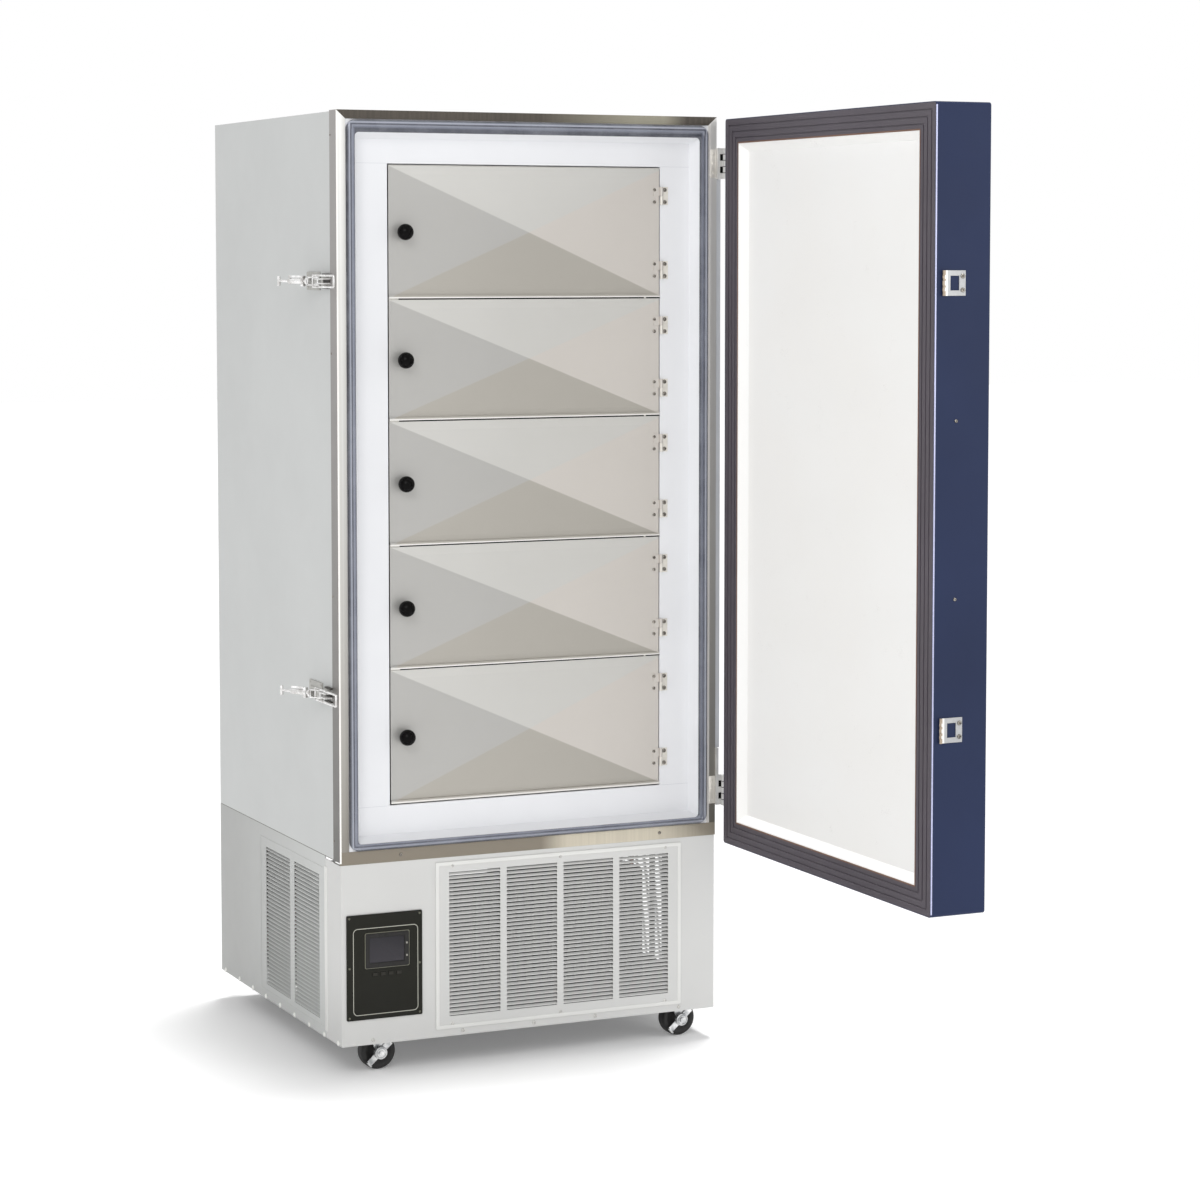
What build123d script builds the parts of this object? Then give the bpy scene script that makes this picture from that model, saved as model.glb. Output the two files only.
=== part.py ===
from build123d import *
import math
import os

# Upright ultra low temperature freezer, outer door standing open at a right angle.
# Millimetres, +Z up, origin on the floor under the middle of the cabinet, front towards -Y.

# Cabinet
cabinet_width = 863.6
cabinet_depth = 803.0
body_height = 1930.0
floor_clearance = 66.0
housing_height = 385.5
skin_gauge = 1.5
back_gauge = 1.5
overrun = 5.0
tube_sides = 8

# Stainless trim round the door opening
trim_gauge = 2.0
trim_side_face = 20.0
trim_top_face = 18.0
trim_bottom_face = 27.0
trim_flange = 40.0
trim_foot_flange = 12.0
trim_drop = 5.5

# White breaker frame between the trim and the inner doors
breaker_slope = 12.0
recess = 28.0
pocket_gap = 2.5
ledge_gap = 1.0
ledge_thickness = 7.0
breaker_split_overlap = 3.0

# Soft seal in the trim
seal_gap = 1.3
seal_side_width = 18.5
seal_top_width = 25.5
seal_bottom_width = 13.0
seal_proud = 7.0
seal_corner = 20.0
seal_inner_corner = 9.0
seal_round = 3.0

# Storage chamber
chamber_lap_side = 16.5
chamber_lap_top = 12.0
chamber_lap_bottom = 12.0
back_wall = 132.0
liner_gauge = 1.5
coil_space = 12.0
shelf_gauge = 2.0
shelf_lip = 18.0
shelf_side_gap = 3.0
shelf_front_gap = 8.0
shelf_back_gap = 20.0
rail_size = 9.0
rail_drop = 14.0
port_radius = 12.7
port_wall = 2.0
port_height = 60.0
port_inset = 90.0

# Evaporator tube, wound up both sides of the chamber
coil_radius = 4.75
coil_passes = 4
coil_bend = 60.0
coil_end_inset = 60.0

# Inner doors
inner_margin = 123.3
inner_sill = 110.0
inner_head = 109.5
inner_height_shares = (0.212, 0.194, 0.196, 0.190, 0.208)
inner_thickness = 26.0
inner_gap = 3.0
crease_rise = 6.0
crease_inset = 18.0
lip_height = 6.0
lip_proud = 4.0
knob_radius = 17.0
knob_chamfer = 8.8
knob_stem_radius = 6.0
knob_standoff = 20.0
knob_inset = 30.0
inner_hinge_radius = 3.5
inner_hinge_pin = 1.5
inner_hinge_height = 38.0
inner_hinge_inset = 40.0
inner_hinge_offset = 4.5
inner_leaf_gauge = 1.5
inner_leaf_width = 16.0
inner_door_leaf_width = 13.0

# Outer door
door_gap = 8.0
door_thickness = 122.0
door_overhang = 6.2
door_bottom_drop = 13.0
door_top_drop = 5.5
door_gauge = 1.5
door_corner = 6.0
door_edge_round = 3.0
door_seal_width = 61.0
door_seal_height = 53.0
door_seal_thickness = 6.0
door_seal_groove = 3.0
door_seal_groove_depth = 2.0
door_seal_groove_shares = (0.25, 0.50, 0.75)
door_liner_gauge = 2.0
door_liner_recess = 17.0
door_liner_draft = 15.0

# Outer hinges
hinge_standoff = 16.0
hinge_radius = 8.0
hinge_pin = 4.0
hinge_height = 66.0
hinge_top_shares = (0.9658, 0.2653)
hinge_plate_extra = 58.0
hinge_leaf = 5.0
hinge_leaf_reach = 38.0
hinge_door_leaf_reach = 60.0
hinge_leaf_clear = 1.0
hinge_knuckles = 5
knuckle_gap = 0.6
cover_strip_width = 34.0
cover_strip_depth = 11.0
cover_strip_inset = 2.0

# Draw latches on the left side
latch_height_shares = (0.3772, 0.8197)
latch_plate_length = 100.0
latch_plate_height = 39.0
latch_plate_gauge = 2.5
latch_plate_back = 66.5
latch_pivot_inset = 13.0
latch_pivot_standoff = 14.0
latch_pin = 2.8
latch_ear_low = 3.4
latch_ear_gauge = 2.6
latch_ear_round = 6.0
latch_cheek_gauge = 2.6
latch_side_gap = 0.4
latch_cheek_round = 6.5
latch_throw = 14.0
latch_open_angle = 30.0
latch_rod_start = 24.0
latch_rod_length = 106.0
latch_rod_radius = 4.4
latch_grip_radius = 3.4
latch_grip_length = 20.0
latch_wire = 2.3
latch_loop_length = 126.0
latch_loop_bend = 2.6
running_fit = 0.08
clearance = 0.3

# Keepers on the free edge of the outer door
keeper_height = 48.0
keeper_gauge = 1.8
keeper_far = 66.0
keeper_flat = 20.0
keeper_ramp_rise = 2.0
keeper_bead_place = 17.0
keeper_bead = 3.0
keeper_notch = 8.0
keeper_arm_gap = 1.0
keeper_window_near = 32.0
keeper_window_far = 52.0
keeper_window_height = 28.0

# Lower housing
panel_gauge = 2.0
wing_length = 96.5
rear_wing_length = 283.5
panel_return = 12.0
grille_left = 210.8
grille_right = 83.3
grille_height = 353.5
grille_bottom = 16.6
grille_proud = 1.5
grille_rim = 14.0
louvre_pitch = 8.5
louvre_rows = 36
louvre_depth = 5.0
louvre_rise = 4.0
louvre_gauge = 1.3
louvre_lead = (louvre_pitch - louvre_rise - louvre_gauge) / 2
front_columns = 4
front_column_share = 0.2037
front_pitch_share = 0.2300
front_row_bottom = 26.0
side_columns = 2
side_column_share = 0.3783
side_pitch_share = 0.4421
side_row_bottom = 33.0
rear_columns = 3
rear_rows = 16
rear_column_share = 0.2327
rear_pitch_share = 0.2676
rear_pitch = 15.0
rear_row_bottom = 60.0

# Base and casters
caster_height = 102.0
rail_height = 36.0
rail_width = 60.0
rail_wall = 3.0
post_width = 30.0
pan_gauge = 2.0
caster_inset_x = 81.8
rear_caster_inset_x = 111.8
caster_inset_y = 60.0
caster_plate_length = 95.0
caster_plate_width = 70.0
caster_plate_gauge = 3.0
race_radius = 24.0
race_height = 7.0
crown_gauge = 3.0
wheel_radius = 38.0
wheel_width = 30.0
wheel_round = 3.0
hub_radius = 12.0
hub_proud = 2.0
axle_radius = 4.0
fork_gap = 0.5
fork_gauge = 3.0
fork_leg_width = 24.0
fork_leg_foot = 9.0
trail = 18.0
pedal_gauge = 3.0
pedal_boss_radius = 14.0
pedal_boss_height = 5.0
pedal_width = 13.0
pedal_upper = 31.0
pedal_lower = 36.0
pedal_angle = 42.0
pedal_toe = 9.0

# Machinery
compressor_radius = 82.0
compressor_height = 190.0
compressor_dome = 50.0
compressor_foot = 88.0
compressor_foot_height = 14.0
compressor_shares = ((-0.0695, 0.2366), (0.2663, 0.2366))
terminal_width = 60.0
terminal_height = 70.0
terminal_depth = 22.0
condenser_width = 420.0
condenser_height = 240.0
condenser_depth = 50.0
condenser_setback = 34.0
condenser_fins = 20
condenser_fin_slot = 12.0
condenser_end = 14.0
fan_radius = 108.0
fan_tip_gap = 5.0
fan_hub_radius = 26.0
fan_hub_length = 24.0
fan_blades = 5
fan_blade_gauge = 2.0
fan_blade_width = 46.0
fan_blade_angle = 32.0
fan_shaft = 4.0
shroud_depth = 40.0
shroud_wall = 3.0
fan_motor_radius = 42.0
fan_motor_length = 70.0
fan_motor_gap = 6.0
motor_strut = 10.0
exchanger_radius = 58.0
exchanger_height = 250.0
exchanger_shares = (-0.3821, 0.2864)
exchanger_dome = 20.0
line_radius = 5.0
line_bend = 18.0
line_rise = 40.0
box_width = 150.0
box_depth = 200.0
box_height = 200.0
box_round = 6.0
box_gap = 10.0
inlet_radius = 16.0
inlet_length = 22.0
inlet_inset = 51.8
inlet_up = 120.0

# Control panel
control_left = 12.4
control_width = 167.4
control_height = 220.6
control_bottom = 54.0
control_gauge = 3.0
control_corner = 3.0
bezel_left = 39.6
bezel_bottom = 106.6
bezel_width = 98.5
bezel_height = 75.0
bezel_proud = 2.0
bezel_corner = 3.0
screen_left = 10.0
screen_bottom = 11.5
screen_width = 77.0
screen_height = 53.0
screen_sunk = 1.0
module_depth = 24.0
module_margin = 4.0
lamp_radius = 2.2
lamp_inset = 6.0
lamp_shares = (0.30, 0.64)
key_width = 10.0
key_height = 7.0
key_proud = 1.0
key_travel = 0.7
key_pitch = 17.5
key_first = 62.5
key_drop = 13.0
key_count = 4
key_gap = 0.3
key_flange = 1.5
key_seat_gauge = 4.0

left = -cabinet_width / 2
right = cabinet_width / 2
front = -cabinet_depth / 2
back = cabinet_depth / 2
body_bottom = floor_clearance
body_top = body_bottom + body_height
seam = body_bottom + housing_height
trim_bottom = seam - trim_drop
skin_left = left + trim_gauge
skin_right = right - trim_gauge
skin_top = body_top - trim_gauge
inside_left = skin_left + skin_gauge
inside_right = skin_right - skin_gauge
inside_top = skin_top - skin_gauge
inside_bottom = seam + skin_gauge
face = front + recess
inner_width = cabinet_width - 2 * inner_margin
doors_bottom = seam + inner_sill
doors_top = body_top - inner_head
inner_height = doors_top - doors_bottom
chamber_right = inner_width / 2 - chamber_lap_side
chamber_left = -chamber_right
chamber_bottom = doors_bottom + chamber_lap_bottom
chamber_top = doors_top - chamber_lap_top
ledge = face + inner_thickness + ledge_gap
breaker_back = ledge + ledge_thickness
chamber_back = back - back_wall
hinge_tops = [body_bottom + share * body_height for share in hinge_top_shares]
hinge_x = right + hinge_standoff
hinge_y = front - hinge_standoff
inner_plane = front - door_gap
outer_plane = inner_plane - door_thickness
door_left = left - door_overhang
door_right = right + door_overhang
door_bottom = trim_bottom - door_bottom_drop
door_top = body_top - door_top_drop
grille_width = cabinet_width - grille_left - grille_right
rail_bottom = caster_height
rail_top = rail_bottom + rail_height
pan_top = rail_top + pan_gauge
inner_hinge_x = inner_width / 2 + inner_hinge_offset
inner_hinge_y = face - inner_hinge_radius
latch_levels = [body_bottom + share * body_height for share in latch_height_shares]
latch_x = skin_left - latch_pivot_standoff
latch_y = front + latch_plate_back + latch_pivot_inset


def block(x_low, x_high, y_low, y_high, z_low, z_high):
    """A box between two corners."""
    centre = Pos((x_low + x_high) / 2, (y_low + y_high) / 2, (z_low + z_high) / 2)
    return centre * Box(x_high - x_low, y_high - y_low, z_high - z_low)


def post(radius, x, y, z_low, z_high):
    """An upright cylinder."""
    return Pos(x, y, (z_low + z_high) / 2) * Cylinder(radius, z_high - z_low)


def bar_y(radius, x, z, y_low, y_high):
    """A cylinder along Y."""
    return Pos(x, (y_low + y_high) / 2, z) * Rot(90, 0, 0) * Cylinder(radius, y_high - y_low)


def bar_x(radius, y, z, x_low, x_high):
    """A cylinder along X."""
    return Pos((x_low + x_high) / 2, y, z) * Rot(0, 90, 0) * Cylinder(radius, x_high - x_low)


def prism_z(points, z_low, z_high):
    """An outline in X and Y, extruded upwards."""
    outline = make_face(Polyline(*points, close=True))
    return Pos(0, 0, z_low) * extrude(outline, z_high - z_low, dir=(0, 0, 1))


def prism_y(points, y_low, y_high):
    """An outline in X and Z, extruded backwards."""
    outline = make_face(Plane.XZ * Polyline(*points, close=True))
    return Pos(0, y_low, 0) * extrude(outline, y_high - y_low, dir=(0, 1, 0))


def rounded_plate(x_low, x_high, z_low, z_high, y_low, y_high, radius):
    """A plate facing the front with round corners."""
    plate = block(x_low, x_high, y_low, y_high, z_low, z_high)
    return fillet(plate.edges().filter_by(Axis.Y), radius)


def turned(shape, x, y, angle):
    """A shape turned about an upright axis."""
    return Pos(x, y, 0) * Rot(0, 0, angle) * Pos(-x, -y, 0) * shape


def tube(points, radius, bend):
    """A tube along straight runs joined by arcs, its section an even polygon to keep its faces few."""
    path = FilletPolyline(*points, radius=bend)
    start = Plane(origin=path @ 0, z_dir=path % 0)
    return sweep(start * RegularPolygon(radius, tube_sides), path=path)


def write(name, *shapes):
    """Write every solid of the shapes to the node's file."""
    solids = [solid for shape in shapes for solid in shape.solids()]
    export_step(Compound(solids), "parts/" + name + ".step")


def cabinet_shell():
    """Painted sheet wrap: both sides, the top and the floor of the cold cabinet."""
    wrap = block(skin_left, skin_right, front + trim_gauge, back, seam, skin_top)
    return wrap - block(inside_left, inside_right, front, back + overrun, inside_bottom, inside_top)


def cabinet_back():
    """Flat back sheet between the wrapped sides, with the hole of the access port."""
    sheet = block(inside_left, inside_right, back - back_gauge, back, inside_bottom, inside_top)
    return sheet - port(port_radius + port_wall + clearance, back - back_wall, back + overrun)


def port(radius, y_low, y_high):
    """The access port's cylinder, low on the back wall."""
    return bar_y(radius, chamber_right - port_inset, chamber_bottom + port_height, y_low, y_high)


def trim_frame():
    """Four trim rails: mitred at the top corners, butted at the bottom."""
    inner_left = left + trim_side_face
    inner_top = body_top - trim_top_face
    foot_top = trim_bottom + trim_bottom_face
    ring = block(left, right, front, front + trim_flange, trim_bottom, body_top)
    ring -= block(skin_left, skin_right, front + trim_gauge, front + trim_flange + overrun,
                  trim_bottom - overrun, skin_top)
    ring -= block(inner_left, -inner_left, front - overrun, front + overrun, foot_top, inner_top)
    ring += block(inner_left, -inner_left, front + trim_gauge, front + trim_foot_flange,
                  trim_bottom, trim_bottom + trim_gauge)
    ring -= block(left - overrun, right + overrun, front + trim_gauge, front + trim_flange + overrun,
                  trim_bottom + trim_gauge, seam)
    depth = (front - overrun, front + trim_flange + overrun)
    side = [(left, body_top), (inner_left, inner_top), (inner_left, trim_bottom), (left, trim_bottom)]
    head = [(left, body_top), (right, body_top), (-inner_left, inner_top), (inner_left, inner_top)]
    rails = [ring & prism_y(side, *depth), ring & prism_y([(-x, z) for x, z in side], *depth)]
    rails.append(ring & prism_y(head, *depth))
    rails.append(ring & block(inner_left, -inner_left, *depth, trim_bottom, foot_top))
    return rails


def breaker_frame():
    """White frame in four pieces, with a pocket for the inner doors and a ledge behind them."""
    rise = front + trim_gauge
    half = inner_width / 2 + pocket_gap
    mouth = right - trim_side_face - seal_gap - seal_side_width
    mouth_top = body_top - trim_top_face - seal_gap - seal_top_width
    mouth_bottom = trim_bottom + trim_bottom_face + seal_gap + seal_bottom_width
    ring = block(inside_left, inside_right, rise, breaker_back, inside_bottom, inside_top)
    wide = Plane.XZ.offset(-rise) * Pos(0, (mouth_top + mouth_bottom) / 2)
    near = wide * Rectangle(2 * mouth, mouth_top - mouth_bottom)
    narrow = Plane.XZ.offset(-face) * Pos(0, (mouth_top + mouth_bottom) / 2)
    far = narrow * Rectangle(2 * (mouth - breaker_slope), mouth_top - mouth_bottom - 2 * breaker_slope)
    ring -= loft([near, far])
    ring -= block(-half, half, face - overrun, ledge, doors_bottom - pocket_gap, doors_top + pocket_gap)
    ring -= block(chamber_left, chamber_right, front, breaker_back + overrun, chamber_bottom, chamber_top)
    low = doors_bottom - breaker_split_overlap
    high = doors_top + breaker_split_overlap
    whole = (inside_left, inside_right, front, breaker_back)
    pieces = [ring & block(*whole, inside_bottom, low), ring & block(*whole, high, inside_top)]
    pieces.append(ring & block(inside_left, 0, front, breaker_back, low, high))
    pieces.append(ring & block(0, inside_right, front, breaker_back, low, high))
    return pieces


def cabinet_seal():
    """Soft seal that the closed outer door presses against."""
    outer_x = right - trim_side_face - seal_gap
    outer_top = body_top - trim_top_face - seal_gap
    outer_bottom = trim_bottom + trim_bottom_face + seal_gap
    inner_x = outer_x - seal_side_width
    depth = (front - seal_proud, front + trim_gauge)
    ring = rounded_plate(-outer_x, outer_x, outer_bottom, outer_top, *depth, seal_corner)
    hole = rounded_plate(-inner_x, inner_x, outer_bottom + seal_bottom_width, outer_top - seal_top_width,
                         depth[0] - overrun, depth[1] + overrun, seal_inner_corner)
    ring -= hole
    return fillet(ring.faces().sort_by(Axis.Y)[0].edges(), seal_round)


def chamber_liner():
    """Steel tank of the storage chamber."""
    outer = block(chamber_left - liner_gauge, chamber_right + liner_gauge, breaker_back,
                  chamber_back + liner_gauge, chamber_bottom - liner_gauge, chamber_top + liner_gauge)
    tank = outer - block(chamber_left, chamber_right, breaker_back - overrun, chamber_back,
                         chamber_bottom, chamber_top)
    return tank - port(port_radius + port_wall, chamber_back - overrun, back)


def shelf_rails():
    """Rails welded to both sides of the tank, one pair under each shelf."""
    rails = []
    for level in shelf_levels():
        for side in (chamber_left, chamber_right - rail_size):
            rails.append(block(side, side + rail_size, breaker_back + shelf_front_gap, chamber_back,
                               level - rail_drop, level))
    return rails


def port_sleeve():
    """Plastic sleeve of the access port, from the chamber to the back sheet."""
    return port(port_radius + port_wall, chamber_back, back) - port(port_radius, front, back + overrun)


def foam_insulation():
    """Foam that fills the walls, with a space left round the tank for the evaporator tube."""
    space = liner_gauge + coil_space
    foam = block(inside_left, inside_right, breaker_back, back - back_gauge, inside_bottom, inside_top)
    foam -= block(chamber_left - space, chamber_right + space, breaker_back - overrun,
                  chamber_back + space, chamber_bottom - liner_gauge, chamber_top + liner_gauge)
    return foam - port(port_radius + port_wall, front, back)


def shelf_levels():
    """Heights of the shelves, one behind each joint between two inner doors."""
    levels = []
    height = doors_bottom
    for share in inner_height_shares[:-1]:
        height += share * inner_height
        levels.append(height)
    return levels


def shelves():
    """Steel shelves with turned-down lips, each resting on two rails."""
    pieces = []
    near = breaker_back + shelf_front_gap
    far = chamber_back - shelf_back_gap
    x_low = chamber_left + shelf_side_gap
    for level in shelf_levels():
        shelf = block(x_low, -x_low, near, far, level, level + shelf_gauge)
        lip_left = x_low + rail_size
        for start in (near, far - shelf_gauge):
            shelf += block(lip_left, -lip_left, start, start + shelf_gauge, level - shelf_lip, level)
        pieces.append(shelf)
    return pieces


def evaporator_coil():
    """Copper tube against both sides of the tank, outside the chamber."""
    near = breaker_back + coil_end_inset
    far = chamber_back - coil_end_inset
    step = (chamber_top - chamber_bottom - 2 * coil_end_inset) / (coil_passes - 1)
    x = chamber_right + liner_gauge + coil_radius
    points = []
    for number in range(coil_passes):
        z = chamber_bottom + coil_end_inset + number * step
        ends = (near, far) if number % 2 == 0 else (far, near)
        points += [(x, ends[0], z), (x, ends[1], z)]
    run = tube(points, coil_radius, coil_bend)
    return [run, mirror(run, Plane.YZ)]


def inner_door(bottom, top):
    """Insulated steel door with a cross-broken face, a lower lip and the door half of its hinges."""
    half = inner_width / 2
    low = bottom + inner_gap / 2
    high = top - inner_gap / 2
    middle = (low + high) / 2
    panel = block(-half, half, face, face + inner_thickness, low, high)
    across = half - crease_inset
    up = (high - low) / 2 - crease_inset
    peak = face - crease_rise
    roof = prism_z([(-across, face), (0, peak), (across, face)], middle - up, middle + up)
    gable = make_face(Plane.YZ * Polyline((face, middle - up), (peak, middle), (face, middle + up), close=True))
    ridge = Pos(-across, 0, 0) * extrude(gable, 2 * across, dir=(1, 0, 0))
    panel += roof & ridge
    panel += block(-half, half, face - lip_proud, face, low, low + lip_height)
    leaves = []
    for z in inner_hinge_levels(bottom, top):
        middle_z = z + inner_hinge_height / 2 + knuckle_gap / 2
        leaf = block(half - inner_door_leaf_width, inner_hinge_x, face - inner_leaf_gauge, face,
                     middle_z, z + inner_hinge_height)
        leaf += post(inner_hinge_radius, inner_hinge_x, inner_hinge_y, middle_z, z + inner_hinge_height)
        leaf -= post(inner_hinge_pin + running_fit, inner_hinge_x, inner_hinge_y, z, top)
        leaves.append(leaf)
    return panel, leaves


def inner_hinge_levels(bottom, top):
    """Heights of the feet of the two hinges of one inner door."""
    return (bottom + inner_hinge_inset, top - inner_hinge_inset - inner_hinge_height)


def inner_hinge_leaf(z):
    """Frame half of a lift-off hinge, with the pin that the door half sits on."""
    middle_z = z + inner_hinge_height / 2 - knuckle_gap / 2
    leaf = block(inner_hinge_x, inner_hinge_x + inner_leaf_width, face - inner_leaf_gauge, face,
                 z, z + inner_hinge_height)
    leaf -= block(inner_hinge_x - overrun, inner_hinge_x + inner_hinge_radius + clearance,
                  front, face + overrun, middle_z, z + inner_hinge_height + overrun)
    leaf += post(inner_hinge_radius, inner_hinge_x, inner_hinge_y, z, middle_z)
    leaf += post(inner_hinge_pin, inner_hinge_x, inner_hinge_y, z, z + inner_hinge_height)
    return leaf


def inner_knob(panel, bottom, top):
    """Round black pull on its stem."""
    x = -inner_width / 2 + knob_inset
    z = (bottom + top) / 2
    stem = bar_y(knob_stem_radius, x, z, face - knob_standoff, face)
    head = bar_y(knob_radius, x, z, face - knob_standoff - knob_radius, face - knob_standoff + knob_radius)
    head = chamfer(head.edges().filter_by(GeomType.CIRCLE), knob_chamfer)
    return stem + head - panel


def door_skin():
    """Painted pan of the outer door: face and four edges."""
    pan = rounded_plate(door_left, door_right, door_bottom, door_top, outer_plane, inner_plane, door_corner)
    pan = fillet(pan.faces().sort_by(Axis.Y)[0].edges(), door_edge_round)
    return pan - door_filling(outer_plane + door_gauge, inner_plane + overrun)


def door_filling(y_low, y_high):
    """The space inside the outer door's skin."""
    return rounded_plate(door_left + door_gauge, door_right - door_gauge, door_bottom + door_gauge,
                         door_top - door_gauge, y_low, y_high, door_corner - door_gauge)


def door_ring(inset_x, inset_z, y_low, y_high):
    """A block inside the outer door's skin, set in from its edges."""
    return block(door_left + inset_x, door_right - inset_x, y_low, y_high,
                 door_bottom + inset_z, door_top - inset_z)


def door_seal():
    """Broad ridged border of the outer door's inner side."""
    seat = inner_plane - door_seal_thickness
    ring = door_filling(seat, inner_plane)
    ring -= door_ring(door_seal_width, door_seal_height, seat - overrun, inner_plane + overrun)
    for share in door_seal_groove_shares:
        across = share * door_seal_width
        up = share * door_seal_height
        groove = door_ring(across, up, inner_plane - door_seal_groove_depth, inner_plane + overrun)
        groove -= door_ring(across + door_seal_groove, up + door_seal_groove, seat, inner_plane + overrun)
        ring -= groove
    return ring


def door_liner_block(grow):
    """The liner's recess, with sloping walls, grown by the liner's gauge for its outside."""
    floor = inner_plane - door_liner_recess - grow
    middle = (door_bottom + door_top) / 2
    margin = 2 * (door_liner_gauge - grow)
    width = door_right - door_left - 2 * door_seal_width - margin
    height = door_top - door_bottom - 2 * door_seal_height - margin
    mouth = Plane.XZ.offset(-inner_plane) * Pos(0, middle) * Rectangle(width, height)
    shrink = 2 * door_liner_draft
    base = Plane.XZ.offset(-floor) * Pos(0, middle) * Rectangle(width - shrink, height - shrink)
    return loft([mouth, base])


def door_liner():
    """White formed liner, sunk into the inner side of the outer door."""
    return door_liner_block(door_liner_gauge) - door_liner_block(0)


def door_foam():
    """Foam core between the door's skin, liner and seal."""
    core = door_filling(outer_plane + door_gauge, inner_plane - door_seal_thickness)
    return core - door_liner_block(door_liner_gauge)


def knuckle_bands(bottom):
    """Heights of the knuckles of one outer hinge, from below."""
    step = hinge_height / hinge_knuckles
    bands = []
    for number in range(hinge_knuckles):
        low = bottom + number * step
        bands.append((low + knuckle_gap / 2, low + step - knuckle_gap / 2))
    return bands


def cabinet_hinges():
    """Cabinet leaves with their knuckles, and the two hinge pins."""
    pieces = []
    for number, top in enumerate(hinge_tops):
        bottom = top - hinge_height
        leaf_top = top + (hinge_plate_extra if number else 0)
        leaf = block(right, right + hinge_leaf, front - door_gap + hinge_leaf_clear,
                     front + hinge_leaf_reach, bottom, leaf_top)
        for band in knuckle_bands(bottom)[::2]:
            leaf += block(right, hinge_x + hinge_leaf, front - door_gap + hinge_leaf_clear,
                          front - hinge_leaf_clear, *band)
            leaf += block(hinge_x - hinge_leaf + clearance, hinge_x + hinge_leaf, hinge_y,
                          front - hinge_leaf_clear, *band)
            leaf += post(hinge_radius, hinge_x, hinge_y, *band)
        leaf -= post(hinge_pin + running_fit, hinge_x, hinge_y, bottom - overrun, top + overrun)
        pieces.append(leaf)
        pieces.append(post(hinge_pin, hinge_x, hinge_y, bottom, top))
    return pieces


def door_hinge_leaves():
    """Door leaves, on the hinge edge of the outer door."""
    pieces = []
    for top in hinge_tops:
        bottom = top - hinge_height
        leaf = block(door_right, door_right + hinge_leaf, inner_plane - hinge_door_leaf_reach,
                     hinge_y - hinge_radius - hinge_leaf_clear, bottom, top)
        for band in knuckle_bands(bottom)[1::2]:
            leaf += block(door_right, door_right + hinge_leaf, inner_plane - hinge_door_leaf_reach,
                          hinge_y, *band)
            leaf += post(hinge_radius, hinge_x, hinge_y, *band)
        leaf -= block(door_left, door_right, outer_plane, inner_plane, bottom, top)
        leaf -= post(hinge_pin + running_fit, hinge_x, hinge_y, bottom - overrun, top + overrun)
        pieces.append(leaf)
    return pieces


def hinge_cover_strip():
    """Painted channel between the two hinges, on the cabinet's hinge side."""
    low = hinge_tops[1] + hinge_plate_extra
    high = hinge_tops[0] - hinge_height
    near = front + cover_strip_inset
    strip = block(right, right + cover_strip_depth, near, near + cover_strip_width, low, high)
    return strip - block(right - overrun, right + cover_strip_depth - panel_gauge, near + panel_gauge,
                         near + cover_strip_width - panel_gauge, low - overrun, high + overrun)


def latch_base(z):
    """Latch plate with two ears and the lever's pin."""
    near = front + latch_plate_back
    half = latch_plate_height / 2
    base = block(skin_left - latch_plate_gauge, skin_left, near, near + latch_plate_length, z - half, z + half)
    for side in (-1, 1):
        inner = z + side * latch_ear_low
        outer = inner + side * latch_ear_gauge
        low, high = sorted((inner, outer))
        base += block(latch_x, skin_left, latch_y - latch_ear_round, latch_y + latch_ear_round, low, high)
        base += post(latch_ear_round, latch_x, latch_y, low, high)
    reach = latch_ear_low + latch_ear_gauge + latch_side_gap + latch_cheek_gauge
    base += post(latch_pin, latch_x, latch_y, z - reach, z + reach)
    return base


def latch_lever(z):
    """Lever with two cheeks, a rod and a cross grip, drawn lying back along the side."""
    cheek_low = latch_ear_low + latch_ear_gauge + latch_side_gap
    lever = None
    for side in (-1, 1):
        low, high = sorted((z + side * cheek_low, z + side * (cheek_low + latch_cheek_gauge)))
        cheek = post(latch_cheek_round, latch_x, latch_y, low, high)
        cheek += block(latch_x - latch_cheek_round, latch_x + latch_cheek_round, latch_y,
                       latch_y + latch_rod_start, low, high)
        lever = cheek if lever is None else lever + cheek
    outside = cheek_low + latch_cheek_gauge
    lever += block(latch_x - latch_cheek_round, latch_x + latch_cheek_round,
                   latch_y + latch_rod_start - latch_cheek_gauge, latch_y + latch_rod_start,
                   z - outside, z + outside)
    tip = latch_y + latch_rod_length
    lever += bar_y(latch_rod_radius, latch_x, z, latch_y + latch_rod_start - latch_cheek_gauge, tip)
    lever += post(latch_grip_radius, latch_x, tip, z - latch_grip_length / 2, z + latch_grip_length / 2)
    lever -= post(latch_pin + running_fit, latch_x, latch_y, z - outside, z + outside)
    return lever - post(latch_wire + running_fit, latch_x, latch_y + latch_throw, z - outside, z + outside)


def latch_loop(z):
    """Wire loop: its back bar turns in the lever, its front bar catches the keeper."""
    outside = latch_ear_low + latch_ear_gauge + 2 * latch_side_gap + latch_cheek_gauge + latch_wire
    middle_y = latch_y + latch_throw - latch_loop_length / 2
    outline = RectangleRounded(latch_loop_length, 2 * outside, latch_loop_bend).wire()
    path = Plane(origin=(latch_x, middle_y, z), x_dir=(0, 1, 0), z_dir=(1, 0, 0)) * outline
    return sweep(Plane(origin=path @ 0, z_dir=path % 0) * RegularPolygon(latch_wire, tube_sides), path=path)


def latch_turned(shape):
    """The lever in the place where the photograph shows it, off the cabinet's side."""
    return turned(shape, latch_x, latch_y, latch_open_angle)


def latch_shifted(shape):
    """The loop carried by the turned lever, still pointing at the door."""
    angle = math.radians(latch_open_angle)
    return Pos(-latch_throw * math.sin(angle), latch_throw * (math.cos(angle) - 1), 0) * shape


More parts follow.
